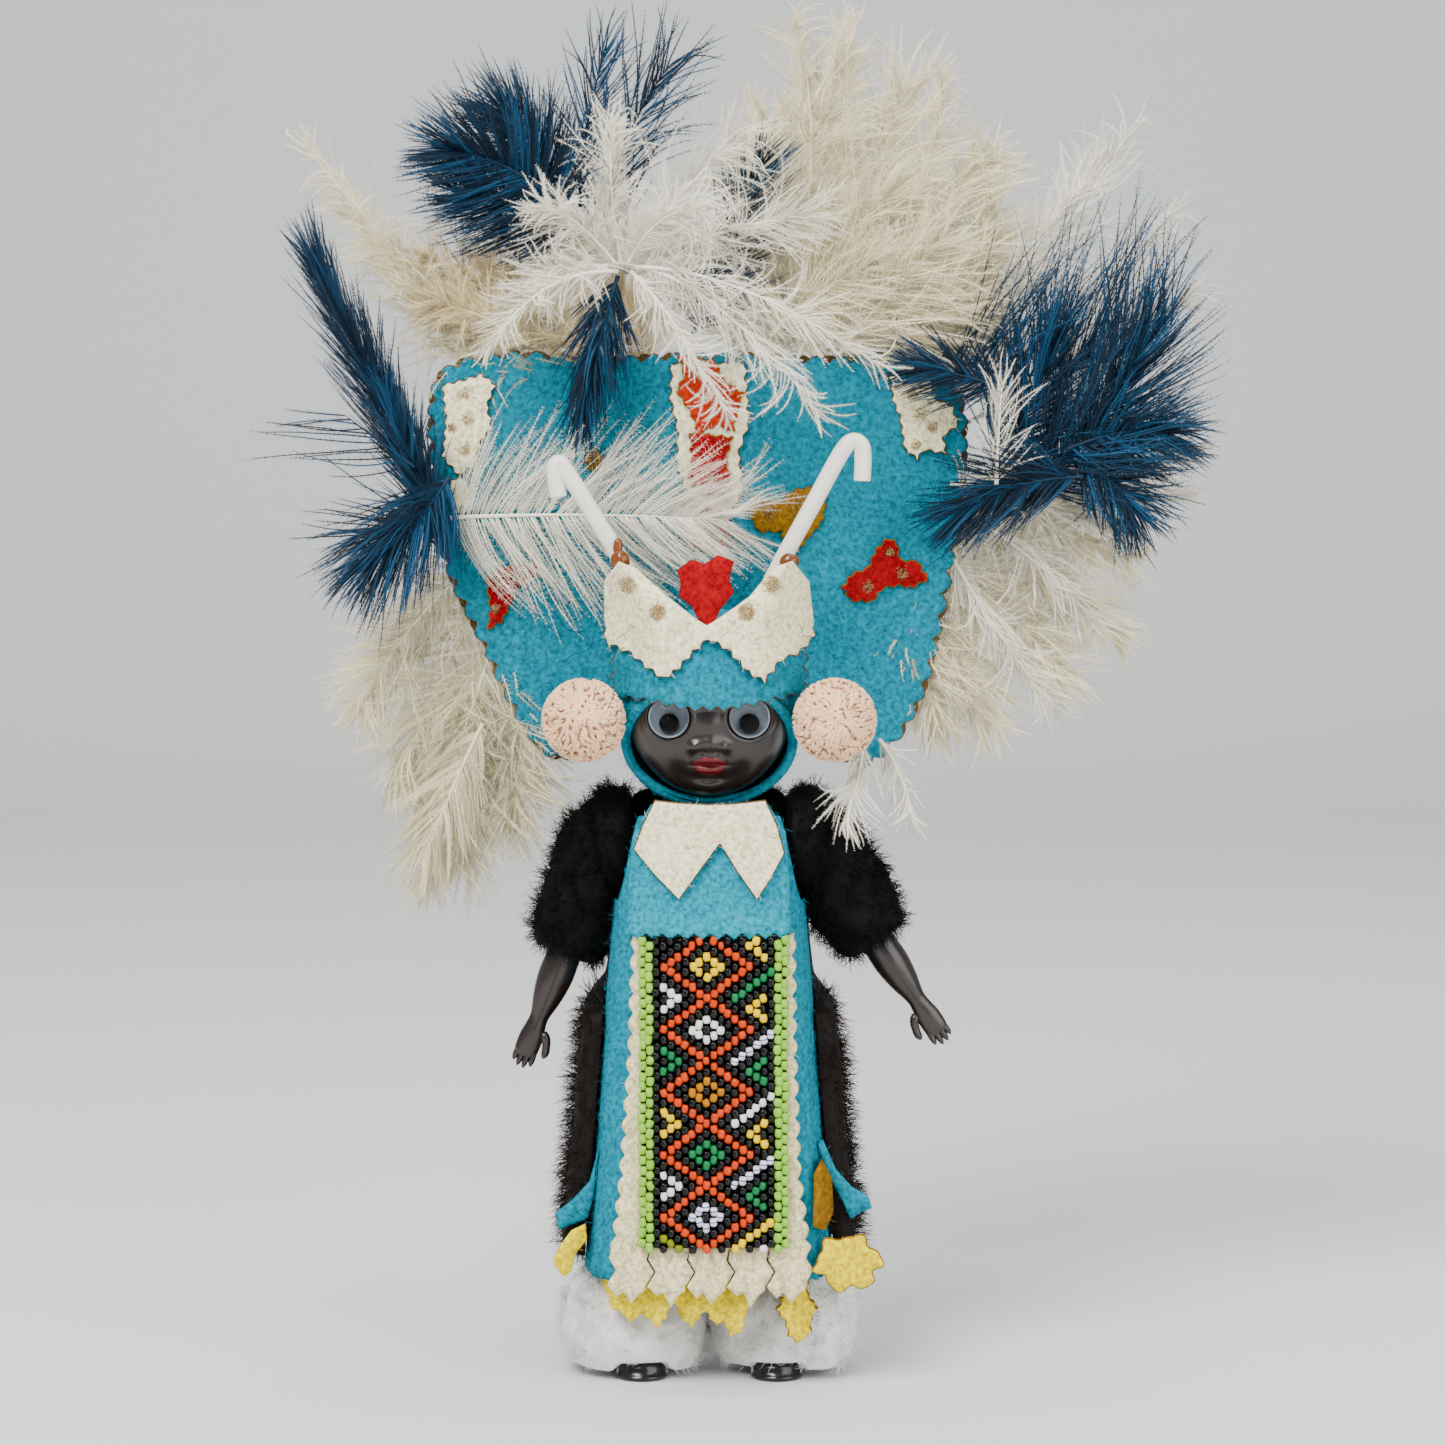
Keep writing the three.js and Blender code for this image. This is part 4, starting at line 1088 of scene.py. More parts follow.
def turned_forward(profile, centre, around=40, hollow=False):
    """A closed solid lathed round an axis along Y from (radius, y) pairs; a hollow one is a shell."""
    profile = np.array(profile, float)
    angle = circle(around)[None]
    radius = profile[:, :1]
    rings = np.stack([radius * np.cos(angle), profile[:, 1:] + 0 * angle, radius * np.sin(angle)], axis=-1)
    rings = rings + np.array([centre[0], 0, centre[1]])
    return ring_solid(rings) if hollow else closed(rings)


def eyes(painted_shade_cup_look, pupil_look, dome_look):
    """A googly eye each side: a pale cup with a rim, coloured a dull grey-blue as painted shade under the
    dome, a loose black disc and a clear dome.
    """
    cup = [(0.05, -16.9), (4.6, -16.9), (4.7, -17.2), (4.7, -19.2), (4.55, -19.45), (4.35, -19.4),
           (4.2, -19.0),
           (4.2, -17.7), (4.0, -17.5), (0.05, -17.5)]
    disc = [(0.05, -17.9), (2.2, -17.9), (2.3, -18.0), (2.3, -18.45), (2.15, -18.6), (0.05, -18.65)]
    pupil_drop, rim = 1.5, -19.5
    rise = np.linspace(0, math.pi / 2, 12)
    outer = [(4.15 * math.cos(a) + 0.02, rim - 2.1 * math.sin(a)) for a in rise]
    inner = [(3.8 * math.cos(a) + 0.02, rim - 1.75 * math.sin(a)) for a in rise[::-1]]
    for word, side in SIDES:
        centre = (side * EYE["offset"], EYE["height"])
        low = (centre[0], centre[1] - pupil_drop)
        piece(f"{word}_eye_cup", Shape().add(*turned_forward(cup, centre)), "head",
              painted_shade_cup_look,
              [f"{word}_eye_cell"])
        piece(f"{word}_pupil_disc", Shape().add(*turned_forward(disc, low)), f"pupil_{word}",
              pupil_look, [f"{word}_pupil"])
        piece(f"{word}_eye_lens", Shape().add(*turned_forward(outer + inner, centre, hollow=True)), "head",
              dome_look, [f"{word}_eye_dome"])


def hood():
    """The felt hood, a thick bowl from the face opening round to the back of the head."""
    rng = np.random.default_rng(8)
    around, rows = 220, 60
    angle = circle(around)[None]
    part = np.linspace(0, 0.995, rows)[:, None]
    x = OPENING["half_width"] * np.cos(angle)
    z = OPENING["height"] + OPENING["half_height"] * np.sin(angle) - HEAD["centre"][2]

    def layer(away, start):
        size = HEAD["size"] + away
        edge_x, edge_z = x / size[0], z / size[2]
        edge = np.stack([edge_x, -np.sqrt(np.maximum(1e-4, 1 - edge_x**2 - edge_z**2)), edge_z], axis=-1)
        back = np.array([0, 1.0, 0])
        turn = np.arccos(np.clip((edge * back).sum(-1, keepdims=True), -1, 1))
        along = (start + (1 - start) * part)[..., None]
        spread = (np.sin((1 - along) * turn) * edge + np.sin(along * turn) * back) / np.sin(turn)
        points = HEAD["centre"] + size * spread
        unevenness = lumps(points, 16, 0.12, np.random.default_rng(88))
        return points + unit(points - HEAD["centre"]) * unevenness[..., None]

    outer, inner, edge = layer(2.2, 0.006), layer(0.35, 0.006), layer(1.3, 0.0)[:1]
    shape = Shape().add(*closed(np.concatenate([inner[::-1], edge, outer])))
    made = piece("hood_cloth", shape, "head", FELT["turquoise"], ["hood"])
    rows_kept = outer[:24].reshape(-1, 3)
    count = int(700 * DENSITY)
    places = rows_kept[rng.integers(0, len(rows_kept), count)]
    FUZZ["head"].append(("turquoise", places, unit(places - HEAD["centre"])))


def hood_rim():
    """The turned edge of the hood, a soft roll of felt round the face, given the lighter turquoise felt as a
    painted highlight where it juts forward.
    """
    rng = np.random.default_rng(17)
    around, half_width, half_height, middle_height, roll = 220, 19.1, 14.3, 148.2, 0.9
    angle = circle(around)
    x, z = half_width * np.cos(angle), middle_height + half_height * np.sin(angle)
    size = HEAD["size"] + 1.7
    depth = np.sqrt(np.maximum(0.03, 1 - (x / size[0]) ** 2 - ((z - HEAD["centre"][2]) / size[2]) ** 2))
    middle = np.stack([x, HEAD["centre"][1] - size[1] * depth - 0.6, z], axis=-1)
    outside = unit(np.stack([half_width * np.cos(angle) / half_width**2, 0 * angle,
                             half_height * np.sin(angle) / half_height**2], axis=-1))
    turn = circle(20)[None, :, None]
    wide = (1.15 + 0.08 * lumps(middle, 9, 1, rng))[:, None, None]
    rings = middle[:, None] + wide * np.cos(turn) * outside[:,
                                                            None] + roll * np.sin(turn) * np.array([0, -1.0,
                                                                                                    0])
    # The rim is the hood's own felt; its lighter turquoise, and that of its loose fibres below, is a painted
    # highlight.
    piece("hood_rim", Shape().add(*ring_solid(rings)), "head", FELT["light"])
    front = middle + 1.0 * outside * [1, 0, 1] - [0, 0.4, 0]
    places = front[rng.integers(0, around, int(500 * DENSITY))]
    FUZZ["head"].append(("light", places, unit(places - HEAD["centre"])))


def pockets(flat):
    """How far the crown stands out where it is wrapped round the two horns and creased between them."""
    x, z = flat[:, 0], flat[:, 1]
    out = 17.2 - 0.42 * (188 - z)
    folds = 0.3 * np.sin((x + 0.6 * z) * 0.5) * smoothstep(164, 172, z)
    sides = sum(np.exp(-((x - side * out) / 3.6) ** 2) for side in (LEFT, RIGHT))
    return folds + 2.2 * sides * smoothstep(168, 184, z)


def head_felts():
    """The pinked brow band, the cream crown with its two pockets, and the red scrap between them."""
    band_away, crown_away, insert_away, stain_below = 2.6, 4.1, 2.7, 174
    band = cut([(-22.4, 174), (-22.4, 158.6), (-14, 158.0), (-5, 156.4), (5, 156.4), (14, 158.0),
                (22.4, 159.4), (22.4, 174)])
    teeth = pinked(band, 3.3, 1.3, where=lambda outline: smoothstep(173.5, 171, outline[:, 1]))
    felt_sheet("brow_band_cloth", teeth, round_head(band_away), "head", "turquoise", edge="backing",
               replaces=["brow_band"], fuzz=0.8)
    crown = cut([(-24, 184.6), (-20.4, 189.6), (-16.4, 188.2), (-10, 182.6), (-3.6, 177.6), (-0.5, 175.6),
                 (3, 177.8), (9, 182), (14.6, 188.6), (18.8, 189.8), (22.8, 184.4), (23.6, 178),
                 (24.2, 171.6),
                 (20.4, 168.4), (16.6, 167.4), (12.4, 162.4), (8.6, 164.8), (4.2, 169.8), (0, 172.4),
                 (-3.8, 169), (-7.2, 165.2), (-10.4, 163.2), (-14.4, 165.8), (-18, 168.6), (-24, 170.6)])
    teeth = pinked(crown, 3.2, 1.0, where=lambda outline: smoothstep(176, 172, outline[:, 1]))
    felt_sheet("crown_cloth", teeth, round_head(crown_away), "head", "cream", edge="backing",
               replaces=["crown"], bend=pockets, fuzz=0.9,
               stained=lambda outline: outline[:, 1] < stain_below)
    insert = cut([(-6.8, 182), (-6.4, 185), (-7.2, 188), (-4, 190.4), (-1, 189.4), (2, 191.4), (5.6, 190),
                  (4.4, 186), (5.6, 183), (2.4, 179), (1.4, 176.4), (-0.6, 174.4), (-2.6, 177), (-4, 180)])
    felt_sheet("crown_insert_cloth", insert, round_head(insert_away), "head", "red", edge="red",
               replaces=["crown_insert"], bend=lambda flat: np.full(len(flat), 0.9))


def glitter(name, places, place, body, spread=1.7, count=230, seed=2):
    """Dots of gold glitter glue, each a cloud of tiny faceted flakes over a flat round place."""
    rng = np.random.default_rng(seed)
    shape = Shape()
    corners = np.array([(1, 0, 0), (-1, 0, 0), (0, 1, 0), (0, -1, 0), (0, 0, 1), (0, 0, -1)], float)
    faces = np.array([(0, 2, 4), (2, 1, 4), (1, 3, 4), (3, 0, 4), (2, 0, 5), (1, 2, 5), (3, 1, 5),
                      (0, 3, 5)])
    for x, z, size in places:
        reach = size * spread * np.sqrt(rng.random(count)) * (1 + 0.2 * rng.normal(size=count))
        angle = rng.uniform(0, 2 * math.pi, count)
        middle = place(x + reach * np.cos(angle), z + reach * np.sin(angle), 0.1 + 0.12 * rng.random(count))
        flakes = middle[:, None] + corners * rng.uniform(0.07, 0.19, (count, 1, 3))
        triangles = (faces[None] + 6 * np.arange(count)[:, None, None]).reshape(-1, 3)
        shape.add(flakes.reshape(-1, 3), triangles, np.repeat(rng.integers(0, 3, count), 8))
    piece(name, shape, body, GLITTER, smooth=False)


HORNS = {
    "left_horn": [(-15, -6, 180), (-20.6, -6, 190), (-26.6, -6.6, 200), (-32.4, -7, 209.3),
                  (-34.1, -7, 211.4),
                  (-35.2, -7, 210.4), (-35, -7, 207.6), (-34.4, -7, 203.8)],
    "right_horn": [(13, -6, 182), (17, -6, 190), (23.6, -6.6, 202), (29.8, -7, 213.4), (32.4, -7, 216.3),
                   (34.6, -7, 215.4), (35, -7, 212), (34.8, -7, 207.5)],
}


def horn(name, look):
    """A bent plastic tube whose open end shows its bore."""
    steps, radius = 70, 1.95
    route = np.array(HORNS[name], float)
    where = np.linspace(0, len(route) - 1, steps)
    path = np.stack([smooth_values(route[:, k], where) for k in range(3)], axis=-1)
    rings = tube_rings(path, np.full(steps, radius), 32)
    end, ahead = path[-1], unit(path[-1] - path[-2])
    # The rings inside the open end: their share of the tube's size and how far in they are.
    inward = [(0.93, -0.12), (0.72, -0.12), (0.66, 0.1), (0.64, 4)]
    bore = np.stack([end + (rings[-1] - end) * size - ahead * back for size, back in inward])
    piece(name + "_tube", Shape().add(*closed(np.concatenate([rings, bore]))), "head", look,
          [name])


def pompom(name, side, looks, seed):
    """A ball of tightly wound yarn whose loops run outwards from the middle of its front."""
    rng = np.random.default_rng(seed)
    centre = middle_of("right_pompom") * [side, 1, 1]
    shape = Shape().add(*ball(centre, (8.55, 8.55, 8.55), 32, 20), 0)
    count, steps = 1050, 8
    axis = unit(np.array([side * 0.1, -1, 0.25]))
    starts = unit(rng.normal(size=(count, 3)))
    flow = unit(starts - axis * (starts @ axis)[:, None] + 0.16 * rng.normal(size=starts.shape))
    swirl = np.cross(starts, flow) * rng.uniform(-0.5, 0.9, (count, 1))
    places = []
    for k in range(steps):
        angle = (k / (steps - 1) - 0.5) * 0.44
        wave = 0.022 * np.sin(k * 1.3 + np.arange(count))[:, None]
        places.append(unit(starts + angle * unit(flow + 0.5 * swirl) + wave * np.cross(starts, flow)))
    arch = 8.62 + 0.66 * np.sin(np.linspace(0.25, math.pi - 0.25, steps))
    paths = centre + np.stack(places, axis=1) * arch[None, :, None]
    radii = 0.43 * np.sin(np.linspace(0.35, math.pi - 0.3, steps)) ** 0.5
    radii[-1] = 0
    points, triangles = strands(paths, radii, 6)
    shape.add(points, triangles, np.repeat(rng.integers(0, len(looks), count), len(triangles) // count))
    fuzz_starts, normals = scattered(*ball(centre, (9.0, 9.0, 9.0), 32, 20), 1500 * DENSITY, rng)
    heading = unit(normals + 0.9 * rng.normal(size=normals.shape))
    shape.add(*strands(grow(fuzz_starts, heading, rng.uniform(0.3, 0.9, len(heading)), 3, 0, 0.4, rng),
                       [0.03, 0.03, 0.025, 0]), 1)
    made = piece(f"{name}_yarn", shape, "head", looks, [name])


def drop(name, centre, size, look, body="head"):
    """A set drop of glue."""
    rng = np.random.default_rng(sum(map(ord, name)))
    points, triangles = ball(centre, size, 28, 20)
    points = points + unit(points - np.array(centre)) * lumps(points, 2.4, 0.10, rng)[..., None]
    piece(name, Shape().add(points, triangles), body, look)


# ---------------------------------------------------------------- headdress board

BOARD_FRONT = box_mm("headdress_board")[0][1]
BOARD_OUTLINE = [
    (0, 236), (-25, 235), (-48, 236), (-63, 231), (-65, 214), (-62.5, 190), (-53, 168), (-43, 148),
    (-34, 141.5),
    (-22, 150), (0, 152), (22, 149), (32, 141), (40, 141.6), (49.6, 156), (55.4, 180), (59.4, 208),
    (58, 227),
    (47, 235.4), (25, 235),
]
# Felt scraps on the board: name, felt, edge colour and corners.
# Felt scraps on the board: name, felt, edge colour and corners.
SCRAPS = [
    ("scrap_upper_left", "cream", "backing", [
        (-62.4, 229), (-61.6, 221), (-62.4, 212), (-58.6, 207.6), (-54.6, 210), (-52.8, 216), (-50.4, 219),
        (-51.6, 224), (-49.6, 229), (-53, 231.6), (-58, 230)]),
    ("scrap_upper_right", "cream", "mustard", [
        (41.6, 231.6), (42.6, 225), (44.2, 221), (45.2, 214), (48.4, 211.4), (50, 213.6), (55.4, 212.6),
        (54.6, 217), (58.2, 219.6), (56.6, 224), (52.6, 226), (51.4, 231), (46.6, 230)]),
    ("scrap_red_left", "red", "mustard", [
        (-52.4, 184), (-49.4, 186.4), (-44, 187.4), (-38.4, 188), (-40.6, 184), (-44.2, 182), (-46.4, 177.6),
        (-48.6, 173.4), (-52, 171.6), (-51.4, 176.4)]),
    ("scrap_red_right", "red", "mustard", [
        (30.6, 181.6), (33, 185), (36.8, 186.4), (38.6, 190.6), (41.4, 193.4), (43.8, 192.4), (44.6, 188.2),
        (48.6, 188), (51.4, 183.6), (47.2, 181.4), (44.4, 182), (40.6, 181.4), (38, 178.2), (33, 178.4)]),
    ("scrap_mustard", "mustard", "mustard", [
        (8.6, 199.6), (11.6, 202.8), (16, 202), (19.6, 204.6), (24.4, 205.4), (27.6, 203), (26.4, 197),
        (23.4, 193.4), (20.6, 190), (17.6, 191), (16.6, 194.6), (11.4, 194.4)]),
    ("scrap_mustard_small", "mustard", "mustard", [
        (-29.4, 212), (-27, 214.4), (-24.6, 212.6), (-25.6, 208.6), (-28.4, 209)]),
    ("scrap_cream_left_edge", "cream", "backing", [
        (-61, 206), (-58, 208.4), (-55.6, 205), (-56.6, 200.6), (-59.8, 200)]),
]
# Felt scraps on the centre strip: name, felt, depth of the teeth and corners.
STRIP_SCRAPS = [
    ("scrap_orange", "orange", 0.7, [
        (-7.4, 236), (-6, 231), (-8, 227.6), (-4.4, 222), (-2.8, 217), (1.6, 219.4), (5.6, 217.6),
        (6.8, 223),
        (8.2, 227), (3.4, 230), (1.6, 234.6)]),
    ("scrap_red_centre", "red", 0.7, [
        (-4.8, 218), (-4.4, 211), (-5.6, 206.4), (-1.6, 203.6), (2.6, 202.6), (5, 207), (4, 211.6),
        (5.6, 217)]),
    ("scrap_red_low", "red", 0.6, [
        (-5.2, 201), (-3.6, 196), (-5.2, 191), (4.8, 191), (5.6, 196), (2.4, 200)]),
]


def board():
    """The stiff felt board, its card backing and the scraps of felt glued to its front."""
    outline = smooth_outline(BOARD_OUTLINE)
    felt_sheet("board_cloth", pinked(outline, 5.4, 1.8, True), facing_front(BOARD_FRONT + 1.2), "head",
               "turquoise", edge="backing", spacing=1.8,
               replaces=["headdress_board"], ripple=0.3, fuzz=0.75)
    backing = pinked(np.roll(outline, 40, axis=0), 6.1, 1.9, True)
    felt_sheet("board_backing_cloth", backing, facing_front(BOARD_FRONT + 2.8), "head", "backing",
               spacing=2.2,
               replaces=["board_backing"], ripple=0.2, fuzz=0.2)
    on_board, on_strip = facing_front(BOARD_FRONT - 0.25), facing_front(BOARD_FRONT - 1.35)
    for name, look, edge, corners in SCRAPS:
        felt_sheet(name, pinked(cut(corners), 2.6, 0.7), on_board, "head", look, edge=edge, thickness=0.9,
                   ripple=0.1, fuzz=0.7)
    strip = cut([(-9, 234), (-9.4, 226), (-7.6, 218), (-8, 211), (-5.6, 204), (-6.4, 198), (-5, 192),
                 (5.6, 192),
                 (5, 198), (8, 205), (7, 213), (9.4, 220), (8.4, 234)])
    felt_sheet("centre_strip_cloth", pinked(strip, 3.4, 0.8), on_board, "head", "cream", edge="backing",
               replaces=["centre_strip"], thickness=1.0)
    for name, look, depth, corners in STRIP_SCRAPS:
        felt_sheet(name, pinked(cut(corners), 3, depth), on_strip, "head", look, edge="mustard",
                   thickness=0.9)


def board_glue(look):
    """Glue at the roots of the plumes, on the front and on the back of the board."""
    roots = [(-58, 20.9, 204), (56, 20.9, 206), (0, 20.9, 232), (-36, 20.9, 230), (30, 20.9, 230),
             (52, 20.9, 188),
             (-50, 20.9, 172), (-19.5, 15.6, 256), (36, -8.0, 149.4)]
    for k, (x, y, z) in enumerate(roots):
        drop(f"glue_{k + 1}", (x, y, z), (3.2, 1.0, 2.6) if y > 20 else (1.2, 0.9, 1.6), look)


# ---------------------------------------------------------------- inner parts


def inner_parts(plastic, elastic, steel):
    """Procedural materials for the CAD parts that show as they are."""
    for name in ("torso_shell", "left_leg", "right_leg"):
        dress(name, plastic)
    for name in ("arm_elastic", "leg_elastic", "neck_elastic"):
        dress(name, elastic)
    for name in ("neck_hook", "left_arm_hook", "right_arm_hook"):
        dress(name, steel)


def dress(node, look):
    mesh = bpy.data.objects[node].data
    mesh.materials.clear()
    mesh.materials.append(look)


def stray_threads():
    """A few dark threads caught on the felt."""
    rng = np.random.default_rng(33)
    dark = tones("stray_thread", (0.010, 0.016, 0.05), 0.7, (1.0,))
    starts = np.array([(-27, 14.5, 169), (-21, -22.5, 172), (20, -22, 176), (47, 14.5, 197),
                       (-36, 14.5, 176),
                       (30, 14, 165), (-40, 15, 160)], float)
    heading = unit(np.array([(-1, 0, -1), (1, 0.1, 1), (0.5, 0, -1), (1, 0, 0.4), (0.2, 0, -1), (-1, 0, 0.3),
                             (1, 0, -0.5)], float))
    paths = grow(starts, heading, np.array([9, 6, 8, 7, 11, 8, 9.0]), 14, 0, 0.22, rng)
    taper = np.append(np.full(14, 0.07), 0)
    piece("stray_threads", Shape().add(*strands(paths, taper, 5)), "head", dark)


# ---------------------------------------------------------------- plumes


def bezier(root, bend, tip, part):
    root, bend, tip, part = np.array(root), np.array(bend), np.array(tip), part[:, None]
    return (1 - part) ** 2 * root + 2 * part * (1 - part) * bend + part**2 * tip


# How each kind of plume grows. barbs is the number on each side, opening the angle in degrees between
# barb and shaft at the root and at the tip, depth how far barbs spring out of the plume's plane, clump
# the number of barbs that cling together, curl their shared bend and fluff the longest barbule.
KINDS = {
    "blue": {"barbs": 130, "opening": (62, 16), "droop": 0.01, "fluff": 1.7, "wander": 0.035, "depth": 0.22,
             "clump": 2, "curl": 0.022, "thick": 1.25},
    "fluffy": {"barbs": 100, "opening": (64, 26), "droop": 0.03, "fluff": 3.3, "wander": 0.06, "depth": 0.35,
               "clump": 3, "curl": 0.060, "thick": 1.0},
    "wispy": {"barbs": 54, "opening": (52, 18), "droop": 0.05, "fluff": 2.7, "wander": 0.09, "depth": 0.28,
              "clump": 4, "curl": 0.11, "thick": 0.95},
    "comb": {"barbs": 125, "opening": (60, 42), "droop": 0.0, "fluff": 2.0, "wander": 0.03, "depth": 0.06,
             "clump": 5, "curl": 0.012, "thick": 0.8},
}
PLUME_BACK = 29.0  # barbs that spring further back than this are pressed flatter


def plume(name, color, kind, root, bend, tip, barb, replaces=(), sides=(LEFT, RIGHT), **changes):
    """One ostrich plume: a shaft, its barbs on each side and the fine barbules along every barb."""
    growth = {**KINDS[kind], **changes}
    rng = np.random.default_rng(sum(map(ord, name)) * 7)
    count = int(growth["barbs"] * (0.6 + 0.4 * DENSITY))
    shape = Shape()
    shaft = bezier(root, bend, tip, np.linspace(0, 1, 24))
    shape.add(*strands(shaft[None], np.append(np.linspace(0.55, 0.14, 23), 0), 6), 1)

    part = np.tile(np.linspace(0.05, 1, count), len(sides))
    part = np.clip(part + rng.normal(0, 0.006, len(part)), 0.03, 1)
    side = np.repeat(np.array(sides, float), count)[:, None]
    group = np.tile(np.arange(count) // growth["clump"], len(sides))
    group = group + np.repeat(np.arange(len(sides)), count) * count
    shared = rng.normal(size=(group.max() + 1, 3))[group]
    along = unit(bezier(root, bend, tip, np.clip(part + 0.01, 0, 1)) - bezier(root, bend, tip, part - 0.01))
    outside = unit(np.cross(along, np.array([0, -1.0, 0])))
    normal = np.cross(outside, along)
    first, last = growth["opening"]
    angle = np.radians(first + (last - first) * part)[:, None] + 0.10 * shared[:, :1]
    headings = unit(np.cos(angle) * along + side * np.sin(angle) * outside
                    + growth["depth"] * (shared[:, 1:2] + 0.5 * rng.normal(size=side.shape)) * normal)
    grown = np.sin(np.pi * np.clip(0.2 + 0.68 * part, 0, 1)) ** 0.6
    lengths = barb * grown * rng.uniform(0.66, 1.06, len(part)) * (1 + 0.10 * shared[:, 2])
    bends = growth["curl"] * (shared[:, [1, 2, 0]] + 0.7 * rng.normal(size=shared.shape))
    pull = np.array([0, 0, -growth["droop"]]) + 0.04 * along + bends
    paths = grow(bezier(root, bend, tip, part), headings, lengths, 8, pull, growth["wander"], rng)
    paths[..., 1] -= 0.68 * np.maximum(0, paths[..., 1] - PLUME_BACK)
    tone = rng.integers(0, 4, group.max() + 1)[group]
    taper = np.array([0.16, 0.155, 0.15, 0.14, 0.125, 0.11, 0.095, 0.075, 0]) * growth["thick"]
    points, triangles = strands(paths, taper)
    shape.add(points, triangles, np.repeat(tone, len(triangles) // len(tone)))
    shape.add(*barbules(paths, lengths, normal, growth, tone, rng))
    return piece(name, shape, "head", PLUMAGE[color], replaces)


def barbules(paths, lengths, normal, growth, tone, rng):
    """The downy barbules on both sides of every barb, as points, triangles and their tones."""
    count, rings, _ = paths.shape
    per_side = int(26 * DENSITY)
    where = np.linspace(0.06, 0.99, per_side)[None] + rng.uniform(-0.015, 0.015, (count, per_side))
    slot = np.clip(where, 0, 0.999) * (rings - 1)
    low, blend = slot.astype(int), (slot % 1)[..., None]
    row = np.arange(count)[:, None]
    bases = paths[row, low] * (1 - blend) + paths[row, low + 1] * blend
    ahead = unit(paths[row, low + 1] - paths[row, low])
    sideways = unit(np.cross(ahead, np.broadcast_to(normal[:, None], ahead.shape)))
    over = np.cross(sideways, ahead)
    found = []
    for side in (LEFT, RIGHT):
        twist = rng.normal(0, 0.55, where.shape)[..., None]
        sprout = side * np.cos(twist) * sideways + np.sin(twist) * over
        lean = rng.uniform(0.55, 1.1, where.shape)[..., None]
        reach = growth["fluff"] * np.clip(lengths / 22, 0.45, 1.1)[:, None] * (1.08 - where) ** 0.5
        reach = reach * rng.uniform(0.6, 1.1, where.shape)
        found.append(bases + unit(lean * ahead + sprout) * reach[..., None])
    tips = np.concatenate(found).reshape(-1, 3)
    points, triangles = spikes(np.concatenate([bases, bases]).reshape(-1, 3), tips, 0.06 * growth["thick"])
    tone = np.tile(np.repeat(tone, per_side), 2)
    return points, triangles, np.repeat(tone, 4)


# The dark blue plumes: the end of the name, root, bend, tip, longest barb and what differs.
BLUE_PLUMES = [
    ("top_left", (-33, 12, 268), (-44, 12, 281), (-60, 11, 283), 23,
     {"barbs": 190, "opening": (86, 14), "depth": 0.30}),
    ("top_left_under", (-32, 16, 262), (-44, 16, 270), (-58, 15, 273), 20,
     {"opening": (74, 20), "depth": 0.3}),
    ("top_left_upper", (-34, 18, 272), (-40, 18, 286), (-48, 17, 292), 20, {"opening": (60, 16)}),
    ("top", (-24, 20, 262), (-24, 20, 282), (-10, 19, 302), 30,
     {"barbs": 44, "opening": (46, 14), "curl": 0.05}),
    ("top_outer", (-30, 18, 270), (-30, 18, 288), (-24, 18, 306), 20,
     {"barbs": 34, "opening": (40, 14), "curl": 0.05}),
    ("hanging", (-21, 6, 254), (-25, 4, 242), (-29, 6, 222), 19,
     {"barbs": 120, "opening": (44, 14), "droop": 0.08}),
    ("behind_mop", (-4, 13, 240), (2, 12, 258), (12, 12, 280), 20, {"barbs": 100}),
    ("left", (-62, 10, 196), (-74, 11, 222), (-90, 9, 256), 26,
     {"barbs": 190, "opening": (17, 8), "curl": 0.012, "depth": 0.14}),
    ("left_root", (-60, 8, 188), (-66, 8, 204), (-74, 8, 226), 20,
     {"barbs": 120, "opening": (24, 10), "depth": 0.2}),
    ("left_sweep", (-68, 7, 210), (-76, 6, 216), (-84, 6, 222), 34,
     {"barbs": 12, "opening": (52, 34), "sides": (LEFT,), "clump": 1, "curl": 0.03}),
    ("left_twigs", (-60, 9, 200), (-72, 8, 198), (-82, 8, 194), 24,
     {"barbs": 22, "opening": (30, 12), "clump": 1}),
    ("lower_left", (-60, 6, 208), (-66, 5, 198), (-78, 5, 188), 25,
     {"barbs": 150, "opening": (52, 14), "droop": 0.05, "depth": 0.26}),
    ("right", (72, 10, 206), (88, 10, 214), (100, 10, 238), 34,
     {"barbs": 170, "opening": (60, 12), "droop": -0.02, "depth": 0.28}),
    ("right_inner", (66, 12, 210), (74, 12, 220), (80, 12, 240), 26,
     {"barbs": 120, "opening": (64, 12), "droop": -0.02, "depth": 0.28}),
    ("right_upright", (54, 13, 236), (78, 13, 224), (107, 11, 242), 44,
     {"barbs": 120, "opening": (88, 56), "sides": (LEFT,), "curl": 0.03, "depth": 0.14, "droop": -0.02}),
    ("right_outer", (82, 8, 214), (96, 8, 220), (106, 8, 218), 20,
     {"barbs": 120, "opening": (70, 18), "curl": 0.04, "depth": 0.3}),
    ("right_lower", (84, 8, 212), (94, 7, 208), (98, 7, 200), 20,
     {"barbs": 100, "opening": (66, 20), "curl": 0.04}),
    ("right_side", (68, 8, 228), (58, 7, 232), (48, 8, 233), 17, {"barbs": 70, "opening": (52, 16)}),
    ("lower_right", (86, 5, 208), (72, 4, 208), (58, 5, 200), 22,
     {"barbs": 150, "opening": (46, 14), "droop": 0.03, "depth": 0.24}),
]


def blue_plumes():
    """The dark blue plumes, most of them in front of the board's edges."""
    for ending, root, bend, tip, barb, changes in BLUE_PLUMES:
        name = f"blue_plume_{ending}"
        node = [name] if name in frame["nodes"] else ()
        plume(name, "blue", "blue", root, bend, tip, barb, node, **changes)


